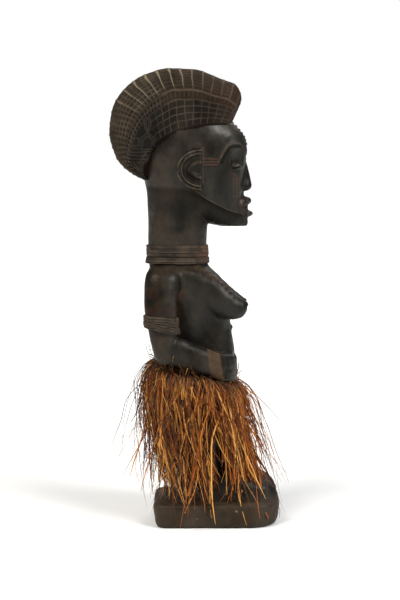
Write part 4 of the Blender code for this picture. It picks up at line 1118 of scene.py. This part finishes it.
def hipPoint(angle, offset):
    z = np.full(len(angle), float(raffia["cordLevel"]))
    for _ in range(6):
        rows = rowsAt(trunkRows, 0, z)
        front, back, half, squareness = rows[:, 1], rows[:, 2], rows[:, 3], rows[:, 4]
        middle, reach = (front + back) / 2, (back - front) / 2 + offset
        x = (half + offset) * signedPower(np.sin(angle), 2 / squareness)
        y = middle - reach * signedPower(np.cos(angle), 2 / squareness)
        z = raffia["cordLevel"] + raffia["cordTilt"] * (y - raffia["cordY"])
    return np.column_stack([x, y, z])


def hipOutward(angle):
    # straight out from the hips, level
    ahead = hipPoint(angle, 12) - hipPoint(angle, 2)
    ahead[:, 2] = 0
    return unit(ahead)


def bladesMesh(name, lines, widths, flats, tones, across, young=1.0):
    # thin four-sided blades along lines of points; across is each point's wide direction
    count, steps = lines.shape[:2]
    tangent = unit(np.gradient(lines, axis=1))
    wide = unit(across - (across * tangent).sum(-1, keepdims=True) * tangent)
    thin = np.cross(tangent, wide)
    corners = [lines + sw * widths[..., None] * wide + st * flats[..., None] * thin
               for sw, st in ((1, 0), (0, 1), (-1, 0), (0, -1))]
    points = np.stack(corners, axis=2).reshape(-1, 3)
    base = (np.arange(count) * steps * 4)[:, None]
    ring = (np.arange(steps - 1) * 4)[None]
    quads = []
    for i in range(4):
        j = (i + 1) % 4
        quads.append(np.stack([base + ring + i, base + ring + j, base + ring + 4 + j, base + ring + 4 + i], -1))
    quads = np.concatenate([q.reshape(-1, 4) for q in quads])
    first, last = base[:, 0], base[:, 0] + (steps - 1) * 4
    caps = np.concatenate([np.stack([first + 3, first + 2, first + 1, first], -1),
                           np.stack([last, last + 1, last + 2, last + 3], -1)])
    surface = Surface(meshObject(name, world(points), np.concatenate([quads, caps]).tolist()))
    surface.paint("tone", np.repeat(tones, steps * 4))
    surface.paint("along", np.tile(np.repeat(np.linspace(0, young, steps), 4), count))
    obj = surface.obj
    obj.data.materials.append(raffiaFinish)
    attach(obj, "root")
    print(name, "faces", len(obj.data.polygons))
    return obj


def spreadAt(theta):
    # how far out a fibre gets that leaves at theta from straight down and bends over evenly
    steps = np.linspace(1e-6, math.pi, 400)
    total = np.concatenate([[0], np.cumsum(np.sin(steps[1:]) / steps[1:] * np.diff(steps))])
    return np.interp(theta, steps, total)


def hangingFibres(rng, layer):
    # fibres tied to the cord: they spring out, bend over and hang
    count, steps, spread = layer["count"], layer["segments"], layer["spread"]
    tuft = rng.integers(0, raffia["tufts"], count)
    home = (tuft + 0.5 + rng.normal(0, 0.19, count)) / raffia["tufts"] * 2 * math.pi - math.pi
    theta = np.radians(rng.uniform(*layer["leave"], count))
    # close to the legs behind, flaring forwards in front
    out = rng.uniform(*layer["reach"], count) * (0.56 + 0.04 * np.cos(home))
    drift = 0.15 + 0.16 * np.clip(np.cos(home + 0.3 * np.sign(home)), 0, 1)
    sideways = rng.normal(0, spread, count) + 0.5 * spread * np.sin(tuft * 2.4)
    total = rng.uniform(*layer["length"], count)
    bend = out / spreadAt(theta)
    start = hipPoint(home, rng.uniform(1.5, 6.0, count))
    start[:, 2] += rng.uniform(-2.5, 4.0, count)
    ahead = hipOutward(home)
    over = np.column_stack([ahead[:, 1], -ahead[:, 0], np.zeros(count)])
    t = np.linspace(0, 1, steps) ** 1.15
    lines = np.zeros((count, steps, 3))
    lines[:, 0] = start
    wave = rng.normal(0, 1, (count, 4))
    phase = rng.uniform(0, 2 * math.pi, (count, 4))
    kinkAt = rng.uniform(0.15, 0.95, (count, 2))
    kinkBy = rng.normal(0, layer["kink"], (count, 2, 2)) * (rng.uniform(0, 1, (count, 2, 1)) < 0.6)
    for k in range(1, steps):
        middle, stride = (t[k] + t[k - 1]) / 2, (t[k] - t[k - 1]) * total
        lean = theta * np.exp(-middle * total / bend)
        side = sideways * (0.18 + 0.82 * np.exp(-middle * 2.6))
        side = side + 0.13 * sum(wave[:, m] * np.cos((m * 11 + 4) * middle + phase[:, m]) for m in (0, 1))
        push = 0.11 * sum(wave[:, m] * np.cos((m * 9 - 13) * middle + phase[:, m]) for m in (2, 3))
        for j in range(2):
            past = middle > kinkAt[:, j]
            side, push = side + past * kinkBy[:, j, 0], push + past * kinkBy[:, j, 1] * 0.55
        push = push - layer["hug"] * np.clip(middle - 0.35, 0, 1)
        step = (np.sin(lean) + push)[:, None] * ahead + side[:, None] * over
        step[:, 2] -= np.cos(lean)
        step[:, 1] -= drift * min(1, middle * 1.9) ** 1.4
        lines[:, k] = lines[:, k - 1] + unit(step) * stride[:, None]
    return lines, home


def settle(lines, margin=0.7):
    # fibres lie on the wood and not in it, part round the near leg, and stay above the floor
    middle = raffia["middleY"]
    turn = np.arctan2(lines[..., 0], middle - lines[..., 1])
    centre, half = raffia["legGap"]
    off = turn - centre
    low = smoothStep(150 - lines[..., 2], 0, 45) * (1 - smoothStep(60 - lines[..., 2], 0, 40) * 0.6)
    beside = off[:, off.shape[1] * 2 // 3:off.shape[1] * 2 // 3 + 1]
    shift = np.where(beside >= 0, 1, -1) * half * 0.3 * bell(off, half * 1.3) * low
    radius = np.hypot(lines[..., 0], lines[..., 1] - middle)
    lines[..., 0] = radius * np.sin(turn + shift)
    lines[..., 1] = middle - radius * np.cos(turn + shift)
    # most fibres that hang before the near leg are broken off short
    short = (1 - smoothStep(np.abs(beside), half * 0.6, half * 1.15)) * (np.arange(len(lines)) % 8 > 0)[:, None]
    lines = lines[:, :1] + (lines - lines[:, :1]) * (1 - 0.52 * short)[..., None]
    shape = lines.shape
    for i, point in enumerate(lines.reshape(-1, 3)):
        spot = Vector(world(point))
        found, normal, _, distance = woodTree.find_nearest(spot, 0.02)
        if found is not None and ((spot - found).dot(normal) < 0 or distance < margin * part):
            if i % shape[1]:
                spot = found + normal * margin * part
                lines[i // shape[1], i % shape[1]] = (np.array(spot) - (0, 0, baseTop)) / part
    # a fibre that would reach too far is drawn in along its whole length
    side = raffia["sideReach"]
    for axis, limit in ((0, side), (0, -side), (1, raffia["frontReach"]), (1, raffia["backReach"])):
        start = lines[:, :1, axis]
        away = (lines[..., axis] - start) * np.sign(limit)
        share = np.abs(limit - start) / np.maximum(away.max(1, keepdims=True), 1e-6)
        lines[..., axis] = start + (lines[..., axis] - start) * np.minimum(share, 1)
    lines[..., 2] = np.maximum(lines[..., 2], raffia["lowest"])
    return lines


def fibrePiece(name, layer, rng, lines, home, width, tones):
    lines = settle(lines)
    count, steps = lines.shape[:2]
    t = np.linspace(0, 1, steps)
    widths = width[:, None] * (1 - 0.8 * t**4) * np.minimum(1, 0.5 + 4 * t)
    ahead = hipOutward(home)
    over = np.column_stack([ahead[:, 1], -ahead[:, 0], np.zeros(count)])
    roll = rng.uniform(-0.9, 0.9, (count, 1)) + rng.normal(0, layer.get("twist", 1.2), (count, 1)) * t
    across = np.cos(roll)[..., None] * over[:, None] + np.sin(roll)[..., None] * ahead[:, None]
    # painted light: fibres brighter in front and darker behind
    tones = tones + 0.07 * np.cos(home)   # brighter in front
    thick = np.minimum(widths, layer["flat"])
    obj = bladesMesh(name, lines, widths, thick, tones, across, layer.get("young", 1.0))
    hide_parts("raffia_skirt")


def buildSkirt():
    curtain = raffia["curtain"]
    for piece in range(curtain["pieces"]):
        rng = np.random.default_rng(140 + piece)
        lines, home = hangingFibres(rng, curtain)
        count = curtain["count"]
        tones = rng.choice(curtain["tones"], count, p=curtain["shares"]) + rng.normal(0, 0.1, count)
        width = rng.uniform(*curtain["width"], count)
        fibrePiece(f"raffia_curtain_{piece + 1}", curtain, rng, lines, home, width, tones)
    for layer in raffia["layers"]:
        rng = np.random.default_rng(layer["seed"])
        lines, home = hangingFibres(rng, layer)
        count = layer["count"]
        width = rng.uniform(*layer["width"], count)
        # two tones are the ends of a range, more are picked from
        tones = layer["tones"]
        tones = rng.uniform(*tones, count) if len(tones) == 2 else rng.choice(tones, count)
        fibrePiece(layer["name"], layer, rng, lines, home, width, tones)


buildSkirt()


def buildCord():
    # the waist cord, and the knotted heads of the fibres round it
    rng = np.random.default_rng(5)
    up = np.array([0, 0, 1.0])
    lines, tones, widths = [], [], []
    steps = raffia["knotSegments"]
    angles = np.linspace(0, 2 * math.pi, 241)
    middle, outward = hipPoint(angles, raffia["cordOut"]), hipOutward(angles)
    for k in range(2):
        twist = angles * 34 + k * math.pi
        strand = middle + 1.5 * (np.cos(twist)[:, None] * outward + np.sin(twist)[:, None] * up)
        for a in range(0, 240, steps - 1):
            lines.append(strand[a:a + steps])
            tones.append(0.1)
            widths.append(1.7)
    t = np.linspace(0, 1, steps)
    for knot in range(raffia["knots"]):
        home = (knot + rng.uniform(-0.4, 0.4)) / raffia["knots"] * 2 * math.pi
        for _ in range(6):
            turn = rng.uniform(-1.2, -0.2) * math.pi + t * rng.uniform(1.4, 2.3) * math.pi
            a = home + rng.normal(0, 0.03) + rng.normal(0, 0.03) * np.sin(t * 3 + rng.uniform(0, 6))
            radius = rng.uniform(3.6, 6.6) * (1 + 0.25 * np.sin(t * 5 + rng.uniform(0, 6)))
            centre, out = hipPoint(a, raffia["cordOut"]), hipOutward(a)
            lines.append(centre + radius[:, None] * (np.sin(turn)[:, None] * out + np.cos(turn)[:, None] * up))
            tones.append(rng.uniform(0, 0.5))
            widths.append(rng.uniform(0.45, 1.1))
        for _ in range(4):
            # short cut ends that stick out of the knots
            a = np.full(steps, home + rng.normal(0, 0.04))
            lean = rng.uniform(-0.5, 1.1) + rng.normal(0, 0.5) * t
            size = rng.uniform(5, 17) + (rng.uniform(0, 24) if rng.uniform() < 0.2 else 0)
            step = np.cos(lean)[:, None] * hipOutward(a) + np.sin(lean)[:, None] * up
            over = np.array([step[0, 1], -step[0, 0], 0])
            lines.append(hipPoint(a, 6.0) + t[:, None] * size * (step + rng.normal(0, 0.5) * over))
            tones.append(rng.uniform(0.1, 0.9))
            widths.append(rng.uniform(0.3, 0.7))
    lines, widths = settle(np.array(lines), 0.5), np.array(widths)[:, None] * np.ones((1, steps))
    across = np.broadcast_to(rng.normal(0, 1, (len(lines), 1, 3)), lines.shape)
    obj = bladesMesh("cord_knots", lines, widths, widths * 0.7, np.array(tones), across)
    grey = np.repeat(rng.uniform(0.02, 0.13, len(lines)), steps * 4).astype(np.float32)
    obj.data.attributes["along"].data.foreach_set("value", grey)
    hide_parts("skirt_cord")


buildCord()


studio = {
    "cameraAt": (-2.10, 0.026, 0.55), "cameraAim": (0, 0.026, 0.3454), "lens": 81.7,
    "floor": (0.86, 0.86, 0.86, 1), "room": (1.0, 0.99, 0.96, 1), "roomStrength": 0.17,
    "suns": (  # name, where the light comes from, strength, softness in degrees, colour
        ("key", (-0.75, 0.8, 1.5), 2.4, 26, (1.0, 0.98, 0.93)),
        ("front", (-0.80, -0.95, 1.1), 2.6, 28, (0.98, 0.99, 0.98)),
        ("behind", (1.0, -0.2, 0.9), 1.0, 40, (1.0, 1.0, 1.0)),
    ),
}


def buildStudio():
    corners = [(-30, -30, -0.0002), (30, -30, -0.0002), (30, 30, -0.0002), (-30, 30, -0.0002)]
    floor = meshObject("floor", corners, [(0, 1, 2, 3)], False)
    paleFloor = newMaterial("paleFloor", {"Base Color": studio["floor"], "Roughness": 0.9,
                                          "Specular IOR Level": 0.1})[0]
    floor.data.materials.append(paleFloor)
    # the room looks white behind the object, and lights it more dimly
    sky = bpy.data.worlds.new("softRoom")
    sky.use_nodes = True
    nodes, links = sky.node_tree.nodes, sky.node_tree.links
    dim = nodes["Background"]
    dim.inputs["Color"].default_value = studio["room"]
    dim.inputs["Strength"].default_value = studio["roomStrength"]
    white, which, choose = (nodes.new(kind) for kind in (
        "ShaderNodeBackground", "ShaderNodeLightPath", "ShaderNodeMixShader"))
    white.inputs["Color"].default_value = (1, 1, 1, 1)
    links.new(which.outputs["Is Camera Ray"], choose.inputs[0])
    links.new(dim.outputs[0], choose.inputs[1])
    links.new(white.outputs[0], choose.inputs[2])
    links.new(choose.outputs[0], nodes["World Output"].inputs[0])
    bpy.context.scene.world = sky
    bpy.context.scene.view_settings.view_transform = "Standard"
    for name, place, strength, softness, colour in studio["suns"]:
        lamp = bpy.data.lights.new(name, "SUN")
        lamp.energy, lamp.angle, lamp.color = strength, math.radians(softness), colour
        obj = bpy.data.objects.new(name, lamp)
        obj.rotation_euler = (-Vector(place)).to_track_quat("-Z", "Y").to_euler()
        bpy.context.scene.collection.objects.link(obj)
    camera = bpy.data.cameras.new("camera")
    camera.lens, camera.sensor_width = studio["lens"], 36
    obj = bpy.data.objects.new("camera", camera)
    obj.location = studio["cameraAt"]
    aim = Vector(studio["cameraAim"]) - Vector(studio["cameraAt"])
    obj.rotation_euler = aim.to_track_quat("-Z", "Y").to_euler()
    bpy.context.scene.collection.objects.link(obj)
    bpy.context.scene.camera = obj


buildStudio()
